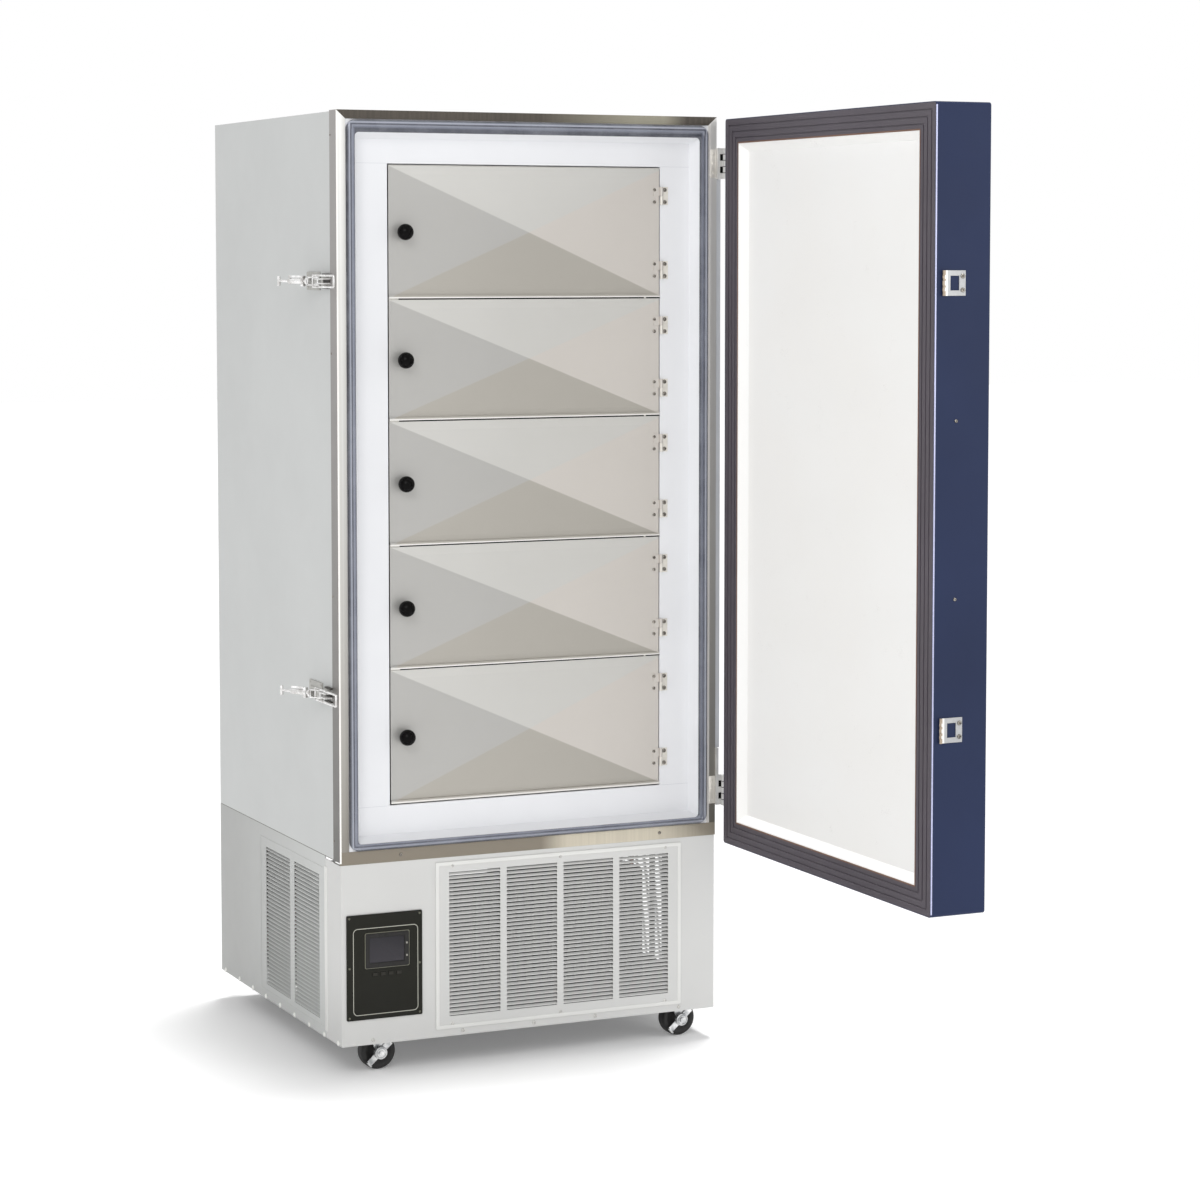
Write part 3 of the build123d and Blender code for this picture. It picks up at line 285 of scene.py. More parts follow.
@dataclass(frozen=True)
class Finish:
    """One finish of the object: its colour, gloss and fine structure."""

    name: str
    slot: str
    colour: Colour
    roughness: float
    grain: Grain
    metallic: float = 0.0
    grain_scale: float = 700.0
    grain_depth: float = 0.00004
    tone: float = 0.05
    tone_scale: float = 3.0
    gloss_spread: float = 0.06
    coat: float = 0.0
    specular: float = 0.5
    gloss_scale: float = 7.0

    def colouring(self, sheet: ShaderSheet) -> Value:
        """The base colour, with its slow change of tone; on the bright metals and zinc a strong tone paints
        mottled reflections.

        Args:
            sheet: the material's sheet.

        Returns:
            The colour.
        """
        shade = tuple(level * (1 - self.tone) for level in self.colour)
        light = tuple(min(255.0, level * (1 + self.tone)) for level in self.colour)
        return sheet.mix(sheet.cloud(self.tone_scale), linear(shade), linear(light))

    def structure(self, sheet: ShaderSheet) -> Value:
        """The fine height from 0 to 1: cells, lines along the grain, or clouds."""
        if self.grain is Grain.CELLS:
            return sheet.cells(self.grain_scale)
        detail = PAINT_DETAIL if self.grain is Grain.PEEL else METAL_DETAIL
        return sheet.noise(self.grain_scale, detail, STRETCHES.get(self.grain, EVEN))

    def material(self) -> bpy.types.Material:
        """Builds the finish's material."""
        material = bpy.data.materials.new(self.name)
        sheet = ShaderSheet(material, "Principled BSDF")
        surface = sheet.surface
        surface.inputs["Metallic"].default_value = self.metallic
        surface.inputs["Coat Weight"].default_value = self.coat
        surface.inputs["Specular IOR Level"].default_value = self.specular
        sheet.feed(surface.inputs["Base Color"], self.colouring(sheet))
        fine = self.structure(sheet)
        cloud = sheet.noise(self.tone_scale * self.gloss_scale)
        low, high = self.roughness - self.gloss_spread, self.roughness + self.gloss_spread
        gloss = sheet.span(0.5 * cloud + 0.5 * fine, *NOISE_SPREAD, low, high)
        sheet.feed(surface.inputs["Roughness"], gloss)
        sheet.relief(fine, self.grain_depth)
        self.extras(sheet, fine)
        return material

    def extras(self, sheet: ShaderSheet, fine: Value) -> None:
        """Hook for what one finish has beyond the common steps."""


@dataclass(frozen=True)
class CrossBrokenSteel(Finish):
    """Brushed sheet whose four folded triangles carry painted light and shade, each triangle its own tone,
    with a painted highlight along the lip.
    """

    # Painted light and shade of the folds: upper and right triangles lit, lower and left ones shaded.
    upper: Colour = (206, 205, 201)
    lower: Colour = (176, 172, 164)
    left: Colour = (181, 180, 177)
    right: Colour = (209, 204, 198)
    lip: Colour = (236, 234, 230)
    middle: float = 1.0
    half_height: float = 0.13
    centre: float = 0.004
    half_width: float = 0.3125
    blend: float = 0.010
    lip_height: float = 0.0028
    dulling: float = 0.08

    def colouring(self, sheet: ShaderSheet) -> Value:
        """The painted light and shade of each triangle, told by its place on the door, and the painted
        highlight on the lip.
        """
        across = (sheet.axis("X") - self.centre) * (1 / self.half_width)
        up = (sheet.axis("Z") - self.middle) * (1 / self.half_height)
        sides = sheet.mix(across > 0.0, linear(self.left), linear(self.right))
        ends = sheet.mix(up > 0.0, linear(self.lower), linear(self.upper))
        leaning = sheet.span(abs(up) - abs(across), -self.blend, self.blend)
        tone = sheet.cloud(self.tone_scale, self.dulling)
        sheen = sheet.mix(tone, sheet.mix(leaning, sides, ends), linear(self.lower))
        # Painted highlight: a pale band along the lower lip of each door.
        on_lip = sheet.axis("Z") < self.middle - self.half_height + self.lip_height
        return sheet.mix(on_lip, sheen, linear(self.lip))


@dataclass(frozen=True)
class TrimSteel(Finish):
    """Stainless trim with painted reflections of a pale room high up and a brown one below it and above,
    painted highlights along its folds and painted shade on its flanges.
    """

    # Painted reflections: pale room high up, dark and brown lower down, on the posts, the top rail and the
    # foot.
    left_high: Colour = (250, 250, 247)
    left_low: Colour = (132, 127, 119)
    right_high: Colour = (226, 225, 222)
    right_low: Colour = (98, 94, 84)
    top: Colour = (72, 66, 59)
    top_pale: Colour = (150, 146, 130)
    foot: Colour = (132, 124, 111)
    foot_pale: Colour = (206, 198, 180)
    # Painted highlight along the folds and the inner line.
    bright: Colour = (255, 252, 248)
    # Flange colours: the painted reflection ramp, darker as painted shade.
    flange_high: Colour = (154, 150, 148)
    flange_low: Colour = (74, 71, 66)
    half_width: float = 0.4318
    high: float = 1.996
    low: float = 0.446
    top_face: float = 0.018
    side_face: float = 0.020
    fold: float = 0.0034
    fold_foot: float = 0.004
    fold_top: float = 0.003
    inner_line: float = 0.0056
    inner_bright: float = 0.8
    inner_shade: float = 0.22
    front: float = -0.4015
    gauge: float = 0.0007
    flange_skin: float = 0.0004
    height_power: float = 0.7
    foot_height: float = 0.0275
    foot_near: Pair = (0.02, 0.08)
    foot_far: Pair = (0.28, 0.40)
    foot_left: float = 0.3
    top_height: float = 0.03
    top_near: Pair = (0.02, 0.24)
    top_far: Pair = (0.31, 0.36)
    streak_scale: float = 260.0
    streak_stretch: Point = (1.0, 1.0, 0.004)
    streak_range: Pair = (0.35, 0.65)
    streak_amount: float = 0.12

    def colouring(self, sheet: ShaderSheet) -> Value:
        """Painted reflection by height, side and rail, with painted highlights along the folds and painted
        shade inside the left post and on the flanges.
        """
        across, along, up = sheet.axis("X"), sheet.axis("Y"), sheet.axis("Z")
        height = sheet.span(up, self.low, self.high) ** self.height_power
        left = sheet.mix(height, linear(self.left_low), linear(self.left_high))
        right = sheet.mix(height, linear(self.right_low), linear(self.right_high))
        side = sheet.mix(across > 0.0, left, right)
        inset = self.half_width - abs(across)
        inner = (inset > self.side_face - self.inner_line) * (across > 0.0)
        # Painted highlight on the inner line of the right post, then painted shade toward the inner edge of
        # the left post.
        side = sheet.mix(inner * self.inner_bright, side, linear(self.bright))
        shade = sheet.span(inset, 0.5 * self.side_face, self.side_face, 0.0, self.inner_shade)
        side = sheet.mix(shade * (across < 0.0), side, linear(self.top))
        # Painted reflection of the brown room on the foot, and of the pale room along the top rail.
        pale = sheet.span(across, *self.foot_near) * sheet.span(across, *self.foot_far, 1.0, self.foot_left)
        foot = sheet.mix(pale, linear(self.foot), linear(self.foot_pale))
        side = sheet.mix(up < self.low + self.foot_height, side, foot)
        pale = sheet.span(across, *self.top_near) * sheet.span(across, *self.top_far, 1.0, 0.0)
        rail = sheet.mix(pale, linear(self.top), linear(self.top_pale))
        in_top = (self.high - up) < inset * (self.top_face / self.side_face)
        side = sheet.mix(in_top * (up > self.high - self.top_height), side, rail)
        lines = sheet.noise(self.streak_scale, stretch=self.streak_stretch)
        streak = sheet.span(lines, *self.streak_range, 0.0, self.streak_amount)
        side = sheet.mix(streak, side, linear(self.foot))
        # Painted highlight along the fold at the left front corner.
        edge = (inset < self.fold) * (up < self.high - self.fold_top) * (up > self.low + self.fold_foot)
        edge = edge * (across < 0.0)
        face = sheet.mix(edge, side, linear(self.bright))
        # The side flange: the painted reflection ramp, darker as painted shade.
        flange = sheet.mix(height, linear(self.flange_low), linear(self.flange_high))
        return sheet.mix((inset < self.flange_skin) * (along > self.front + self.gauge), face, flange)


@dataclass(frozen=True)
class BellowsSeal(Finish):
    """Soft translucent seal round the mouth, its dark folds and pale ridges painted as shade and highlights.
    """

    half_width: float = 0.4105
    middle: float = 1.2255
    half_height: float = 0.7512
    # Painted shade (dark bands) and painted highlights (pale bands) across the seal's section.
    bands: tuple[tuple[float, Colour], ...] = (
        (0.0, (54, 56, 64)), (0.10, (58, 60, 70)), (0.20, (122, 126, 138)), (0.33, (178, 182, 194)),
        (0.42, (88, 92, 106)), (0.52, (60, 62, 74)), (0.62, (138, 142, 156)), (0.80, (114, 118, 132)),
        (0.92, (84, 88, 100)), (1.0, (66, 68, 78)))
    reach: float = 0.0185
    haze: Colour = (160, 164, 176)
    haze_scale: float = 16.0
    haze_detail: float = 4.0
    haze_range: Pair = (0.35, 0.7)
    haze_amount: float = 0.3

    def colouring(self, sheet: ShaderSheet) -> Value:
        """Bands of painted shade and painted highlight from the seal's outside to its inside."""
        across = self.half_width - abs(sheet.axis("X"))
        up = self.half_height - abs(sheet.axis("Z") - self.middle)
        inward = -1.0 * (-1.0 * across).greatest(-1.0 * up)
        stops = [(place, linear(colour)) for place, colour in self.bands]
        share = sheet.span(inward, 0.0, self.reach)
        band = sheet.node("ShaderNodeValToRGB", {"stops": stops}, {0: share})
        noise = sheet.noise(self.haze_scale, self.haze_detail)
        return sheet.mix(sheet.span(noise, *self.haze_range, 0.0, self.haze_amount), band, linear(self.haze))


@dataclass(frozen=True)
class StrikeSteel(Finish):
    """Pressed strike: a tan painted reflection where it leans away, a white painted highlight along its
    rolled bead and grey on its plate.
    """

    tan_end: float = 0.4590
    bead_end: float = 0.4655
    # Painted reflection (tan) where the strike leans away, and painted highlight (bead) on the rolled bead.
    tan: Colour = (172, 156, 138)
    bead: Colour = (244, 242, 238)
    shade: Colour = (128, 126, 128)
    shade_amount: float = 0.25

    def colouring(self, sheet: ShaderSheet) -> Value:
        """Tan painted reflection, white painted highlight and grey plate, by the distance from the door's
        inner side.
        """
        depth = sheet.axis("X")
        bent = sheet.mix(depth > self.tan_end, linear(self.tan), linear(self.bead))
        cloud = sheet.cloud(self.tone_scale, self.shade_amount)
        plate = sheet.mix(cloud, linear(self.colour), linear(self.shade))
        return sheet.mix(depth > self.bead_end, bent, plate)


@dataclass(frozen=True)
class SidePaint(Finish):
    """Paint of the lower sides, darkened towards the back as painted shade."""

    near: float = -0.36
    far: float = 0.30
    # Painted shade: the colour the paint takes at the back.
    back: Colour = (174, 175, 173)
    end: float = 0.4005

    def colouring(self, sheet: ShaderSheet) -> Value:
        """The paint's colour, darker towards the back as painted shade."""
        along = sheet.axis("Y")
        share = sheet.span(along, self.near, self.far) * (along < self.end)
        return sheet.mix(share, linear(self.colour), linear(self.back))


@dataclass(frozen=True)
class FoamSkin(Finish):
    """Rigid foam with open cells of several sizes."""

    wide_share: float = 0.4
    wide_size: float = 5.0
    wide_depth: float = 2.0

    def extras(self, sheet: ShaderSheet, fine: Value) -> None:
        """Adds wider pits under the fine cells."""
        wide = sheet.cells(self.grain_scale / self.wide_size)
        depth = self.grain_depth * self.wide_depth
        sheet.relief((1 - self.wide_share) * fine + self.wide_share * wide, depth)


@dataclass(frozen=True)
class GlassScreen(Finish):
    """Unlit display behind smooth glass, a little darker towards its top."""

    low: float = 0.238
    high: float = 0.291
    top: Colour = (52, 51, 55)

    def colouring(self, sheet: ShaderSheet) -> Value:
        """Grey that darkens with height."""
        share = sheet.span(sheet.axis("Z"), self.low, self.high)
        return sheet.mix(share, linear(self.colour), linear(self.top))


CABINET_PAINT = Finish("cabinet_paint", "cabinet_paint", (204, 206, 205), 0.42, Grain.PEEL, tone=0.012,
                       grain_scale=520, grain_depth=0.00002)
SIDE_PAINT = SidePaint("lower_side_paint", "cabinet_paint", (205, 207, 205), 0.42, Grain.PEEL,
                       grain_scale=520, grain_depth=0.00002)
# A lit copy of the cabinet paint: lighter, as painted light on the front panel and grille that face the
# light.
FRONT_PAINT = Finish("lower_front_paint", "cabinet_paint", (215, 215, 213), 0.40, Grain.PEEL, tone=0.012,
                     grain_scale=520, grain_depth=0.00002)
FRAME_PAINT = Finish("frame_paint", "frame_steel", (96, 97, 98), 0.5, Grain.PEEL, tone=0.06)
TRIM_STEEL = TrimSteel("trim_steel", "trim_steel", (196, 192, 184), 0.34, Grain.BRUSHED_Z, metallic=0.3,
                       grain_scale=900, grain_depth=0.000008)
BREAKER_WHITE = Finish("breaker_white", "breaker_white", (238, 239, 242), 0.34, Grain.SPECKLED, tone=0.012,
                       grain_scale=1200, grain_depth=0.000008)
SEAL_GREY = BellowsSeal("seal_grey", "seal_grey", (112, 114, 124), 0.28, Grain.SPECKLED, grain_scale=700,
                        grain_depth=0.00002, coat=0.3)
SEAL_DARK = Finish("seal_dark", "seal_dark", (80, 74, 82), 0.5, Grain.SPECKLED, tone=0.06, grain_scale=1500,
                   grain_depth=0.00003)
LINER_STEEL = Finish("liner_steel", "liner_steel", (178, 178, 176), 0.36, Grain.BRUSHED_Y, metallic=0.9)
FOAM = FoamSkin("foam", "foam", (226, 206, 158), 0.9, Grain.CELLS, grain_scale=900, grain_depth=0.0002,
                tone=0.08, tone_scale=12)
SHELF_STEEL = Finish("shelf_steel", "shelf_steel", (184, 184, 182), 0.34, Grain.BRUSHED_X, metallic=0.9)
# Copper darkened below its own colour as painted shade, so the coils stay dim through the louvres.
COPPER = Finish("copper", "copper", (128, 78, 54), 0.5, Grain.CLOUDED, metallic=0.7, tone=0.12,
                tone_scale=40)
DOOR_LEVELS: tuple[Pair, ...] = ((1.6124, 1.8850), (1.3607, 1.6094), (1.1009, 1.3577), (0.8439, 1.0980),
                                 (0.5630, 0.8409))
# Each door's finish paints light and shade on its four triangles.
INNER_DOORS: tuple[CrossBrokenSteel, ...] = tuple(
    CrossBrokenSteel(f"inner_door_steel_{number}", "inner_door_steel", (206, 203, 196), 0.44, Grain.BRUSHED_X,
                     metallic=0.35, grain_scale=420, grain_depth=0.00001, tone_scale=5,
                     middle=(low + high) / 2, half_height=(high - low) / 2)
    for number, (low, high) in enumerate(DOOR_LEVELS, 1))
STRIKE_STEEL = StrikeSteel("strike_steel", "bright_steel", (182, 183, 184), 0.36, Grain.CLOUDED,
                           metallic=0.45, tone_scale=90)
# Bright steel: its strong tone paints mottled reflections.
BRIGHT_STEEL = Finish("bright_steel", "bright_steel", (230, 226, 222), 0.18, Grain.CLOUDED, metallic=0.75,
                      tone=0.2, tone_scale=60, gloss_spread=0.08)
LEAF_STEEL = Finish("leaf_steel", "bright_steel", (226, 222, 214), 0.34, Grain.CLOUDED, metallic=0.4,
                    tone=0.04, tone_scale=60)
STRIP_PALE = Finish("strip_pale", "hinge_steel", (214, 216, 219), 0.38, Grain.BRUSHED_Z, tone=0.02,
                    tone_scale=12, grain_depth=0.00001)
HINGE_STEEL = Finish("hinge_steel", "hinge_steel", (214, 213, 211), 0.32, Grain.CLOUDED, metallic=0.2,
                     tone=0.05, tone_scale=30)
DOOR_NAVY = Finish("door_navy", "door_navy", (40, 50, 80), 0.42, Grain.PEEL, tone=0.05, grain_scale=620,
                   grain_depth=0.00001, specular=0.16)
DOOR_WHITE = Finish("door_white", "door_white", (255, 254, 252), 0.32, Grain.PEEL, tone=0.008,
                    grain_scale=420, grain_depth=0.000015)
KNOB_BLACK = Finish("knob_black", "knob_black", (10, 9, 9), 0.2, Grain.SPECKLED, tone=0.15, tone_scale=80,
                    gloss_spread=0.05, grain_depth=0.00002, specular=0.07)
COMPRESSOR_BLACK = Finish("compressor_black", "compressor_black", (28, 28, 30), 0.32, Grain.PEEL, tone=0.2)
# Painted shade: the condenser fins kept dark so the machine bay reads as shaded through the louvres.
FIN_ALUMINIUM = Finish("fin_aluminium", "fin_aluminium", (52, 53, 55), 0.6, Grain.BRUSHED_Z, metallic=0.3)
MACHINE_GREY = Finish("machine_grey", "machine_grey", (150, 152, 154), 0.45, Grain.PEEL)
FAN_BLACK = Finish("fan_black", "fan_black", (44, 46, 52), 0.46, Grain.SPECKLED, tone=0.08)
PANEL_BLACK = Finish("panel_black", "panel_black", (24, 24, 17), 0.46, Grain.SPECKLED, tone=0.08,
                     grain_scale=1400, grain_depth=0.00005, specular=0.2)
BEZEL_BLACK = Finish("bezel_black", "display_dark", (34, 33, 32), 0.3, Grain.SPECKLED, tone=0.05,
                     specular=0.25)
KEY_GREY = Finish("key_grey", "key_grey", (46, 45, 40), 0.5, Grain.SPECKLED, tone=0.06, grain_scale=1600,
                  specular=0.2)
# Zinc: its strong tone paints mottled reflections.
ZINC = Finish("zinc", "zinc", (200, 204, 207), 0.24, Grain.CLOUDED, metallic=0.85, tone=0.32, tone_scale=55)
SCREEN_GREY = GlassScreen("screen_grey", "display_dark", (64, 62, 67), 0.22, Grain.SPECKLED, tone=0.0,
                          grain_depth=0.000002, specular=0.15)
LINE_PALE = Finish("line_pale", "panel_black", (196, 196, 184), 0.45, Grain.SPECKLED, tone=0.04)
BEZEL_EDGE = Finish("bezel_edge", "display_dark", (120, 120, 104), 0.4, Grain.SPECKLED, tone=0.05)
LAMP_CLEAR = Finish("lamp_clear", "display_dark", (150, 148, 138), 0.15, Grain.SPECKLED, coat=0.8)
# Screw zinc: dark and strongly mottled, as painted shade round the screw heads and their painted glints.
SCREW_ZINC = Finish("screw_zinc", "zinc", (122, 118, 112), 0.24, Grain.CLOUDED, metallic=1.0, tone=0.4,
                    tone_scale=260)
# Painted shade: black sheets set where gaps are dark only with shade.
SHADE_BLACK = Finish("shade_black", "seal_dark", (14, 13, 13), 0.8, Grain.SPECKLED, tone=0.1, specular=0.1)
SEAM_SIDE = Finish("side_seam", "cabinet_paint", (118, 118, 112), 0.6, Grain.SPECKLED, tone=0.05)
SCREW_PALE = Finish("screw_pale", "cabinet_paint", (206, 205, 201), 0.28, Grain.CLOUDED, metallic=0.4,
                    tone=0.12, tone_scale=300)
# Painted highlight: the side rivet heads lighter than the paint, to show as lit bumps.
BUMP_PALE = Finish("bump_pale", "cabinet_paint", (244, 244, 240), 0.25, Grain.PEEL, tone=0.02,
                   grain_scale=900)
# Painted highlight: the paint lighter on the rolled edges and strips that catch the light.
ROLL_PAINT = Finish("roll_paint", "cabinet_paint", (232, 232, 229), 0.36, Grain.PEEL, tone=0.012,
                    grain_scale=520, grain_depth=0.00001)
SCREW_DARK = Finish("screw_dark", "panel_black", (104, 104, 92), 0.3, Grain.CLOUDED, metallic=0.8, tone=0.1)
SEAM_GREY = Finish("seam_grey", "breaker_white", (206, 208, 214), 0.5, Grain.SPECKLED, tone=0.02)
RIM_PALE = Finish("rim_pale", "breaker_white", (226, 224, 218), 0.45, Grain.SPECKLED, tone=0.03)
EDGE_BROWN = Finish("edge_brown", "seal_dark", (118, 84, 66), 0.5, Grain.SPECKLED, tone=0.06)
# Painted highlight: the pale folded edge of the navy door skin.
EDGE_HIGHLIGHT = Finish("edge_highlight", "door_navy", (196, 200, 232), 0.25, Grain.CLOUDED, metallic=0.3,
                     tone=0.04)
# Black of the hinge washers, standing partly for the shade in the hinge's slots.
BAND_BLACK = Finish("band_black", "fan_black", (24, 24, 24), 0.5, Grain.SPECKLED, tone=0.1)
LATCH_GREY = Finish("latch_grey", "latch_grey", (168, 167, 162), 0.36, Grain.CLOUDED, metallic=0.5,
                    tone=0.08, tone_scale=60)
# Painted glint: ears and pin ends white where the latch's pivot catches light.
EAR_GLINT = Finish("ear_glint", "latch_grey", (250, 249, 247), 0.2, Grain.CLOUDED, metallic=0.3,
                    tone=0.04, tone_scale=60)
# Painted shade: the dark floor between the latch's ears, and the pads' black beside them.
LATCH_DARK = Finish("latch_dark", "latch_grey", (58, 54, 50), 0.5, Grain.CLOUDED, metallic=0.3, tone=0.1,
                    tone_scale=60)
WHEEL_DARK = Finish("wheel_dark", "wheel_dark", (30, 29, 29), 0.6, Grain.SPECKLED, tone=0.1,
                    grain_scale=900, grain_depth=0.0001)

NODE_FINISHES: dict[Finish, tuple[str, ...]] = {
    CABINET_PAINT: ("cabinet_shell", "cabinet_back"),
    SIDE_PAINT: ("lower_side_left", "lower_side_right", "rear_cover"),
    FRONT_PAINT: ("lower_front_panel", "front_grille"),
    FRAME_PAINT: ("base_frame",),
    TRIM_STEEL: ("trim_frame",),
    BREAKER_WHITE: ("breaker_frame",),
    SEAL_GREY: ("cabinet_gasket",),
    SEAL_DARK: ("door_gasket",),
    LINER_STEEL: ("chamber_liner",),
    FOAM: ("foam_insulation", "door_foam"),
    SHELF_STEEL: ("shelves",),
    COPPER: ("evaporator_coil", "cascade_heat_exchanger"),
    STRIKE_STEEL: ("latch_keepers",),
    **{finish: (f"inner_door_{number}",) for number, finish in enumerate(INNER_DOORS, 1)},
    BRIGHT_STEEL: ("latch_lever_upper", "latch_lever_lower", "latch_loop_upper", "latch_loop_lower"),
    LEAF_STEEL: ("inner_hinge_leaves",),
    HINGE_STEEL: ("cabinet_hinges", "door_hinge_leaves"),
    STRIP_PALE: ("hinge_cover_strip",),
    DOOR_NAVY: ("door_skin",),
    DOOR_WHITE: ("door_liner",),
    KNOB_BLACK: tuple(f"inner_door_knob_{number}" for number in range(1, 6)),
    COMPRESSOR_BLACK: ("compressors",),
    FIN_ALUMINIUM: ("condenser",),
    MACHINE_GREY: ("fan_shroud", "electrical_box"),
    FAN_BLACK: ("condenser_fan",),
    LATCH_GREY: ("latch_bases",),
    PANEL_BLACK: ("control_panel",),
    BEZEL_BLACK: ("display_module",),
    KEY_GREY: tuple(f"control_key_{number}" for number in range(1, 5)),
    ZINC: ("rear_caster_forks", "caster_fork_left", "caster_fork_right", "brake_pedal_left",
           "brake_pedal_right"),
    WHEEL_DARK: ("front_wheel_left", "front_wheel_right", "rear_wheel_left", "rear_wheel_right"),
}


class Palette:
    """Builds each finish's material once."""

    def __init__(self) -> None:
        """Starts with no material built."""
        self.built: dict[Finish, bpy.types.Material] = {}

    def of(self, finish: Finish) -> bpy.types.Material:
        """The finish's material, built on first use."""
        if finish not in self.built:
            self.built[finish] = finish.material()
        return self.built[finish]

    def dress_frame(self) -> None:
        """Gives every CAD node its material."""
        for finish, names in NODE_FINISHES.items():
            for name in names:
                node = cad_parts[name]
                node.data.materials.clear()
                node.data.materials.append(self.of(finish))
        log.info("dressed %d CAD nodes", sum(len(names) for names in NODE_FINISHES.values()))


PALETTE = Palette()
HEXAGON = 6
RIVET_STEPS = 20
HEAD_STEPS = 24
TURN_STEPS = 28
FINE_STEPS = 40
COARSE_CORNER = 2
SMALL_CORNER = 3
CORNER = 6
FINE_CORNER = 8
Profile = tuple[Pair, ...]
Outline = list[Pair]
Ring = list[bmesh.types.BMVert]


def rounded(width: float, height: float, corner: float, steps: int = CORNER) -> Outline:
    """A rectangle with rounded corners, about the origin.

    Args:
        width: its size across.
        height: its size up.
        corner: radius of its corners.
        steps: divisions of each corner.

    Returns:
        Its points, anticlockwise.
    """
    points = []
    for turn, (side, end) in enumerate(((1, 1), (-1, 1), (-1, -1), (1, -1))):
        centre = (side * (width / 2 - corner), end * (height / 2 - corner))
        for step in range(steps + 1):
            angle = (turn + step / steps) * math.pi / 2
            points.append((centre[0] + corner * math.cos(angle), centre[1] + corner * math.sin(angle)))
    return points


class Facing(Enum):
    """Which way a flat piece or a fastener looks: (across, up, outward) directions."""

    FRONT = ((1, 0, 0), (0, 0, 1), (0, -1, 0))
    BACK = ((-1, 0, 0), (0, 0, 1), (0, 1, 0))
    LEFT = ((0, -1, 0), (0, 0, 1), (-1, 0, 0))
    RIGHT = ((0, 1, 0), (0, 0, 1), (1, 0, 0))
    UP = ((1, 0, 0), (0, 1, 0), (0, 0, 1))

    def matrix(self, at: Point) -> Matrix:
        """The placing of a piece drawn in its own across, up and outward axes."""
        turn = Matrix(self.value).transposed().to_4x4()
        return Matrix.Translation(Vector(at)) @ turn


SIDES: tuple[tuple[int, Facing], ...] = ((-1, Facing.LEFT), (1, Facing.RIGHT))


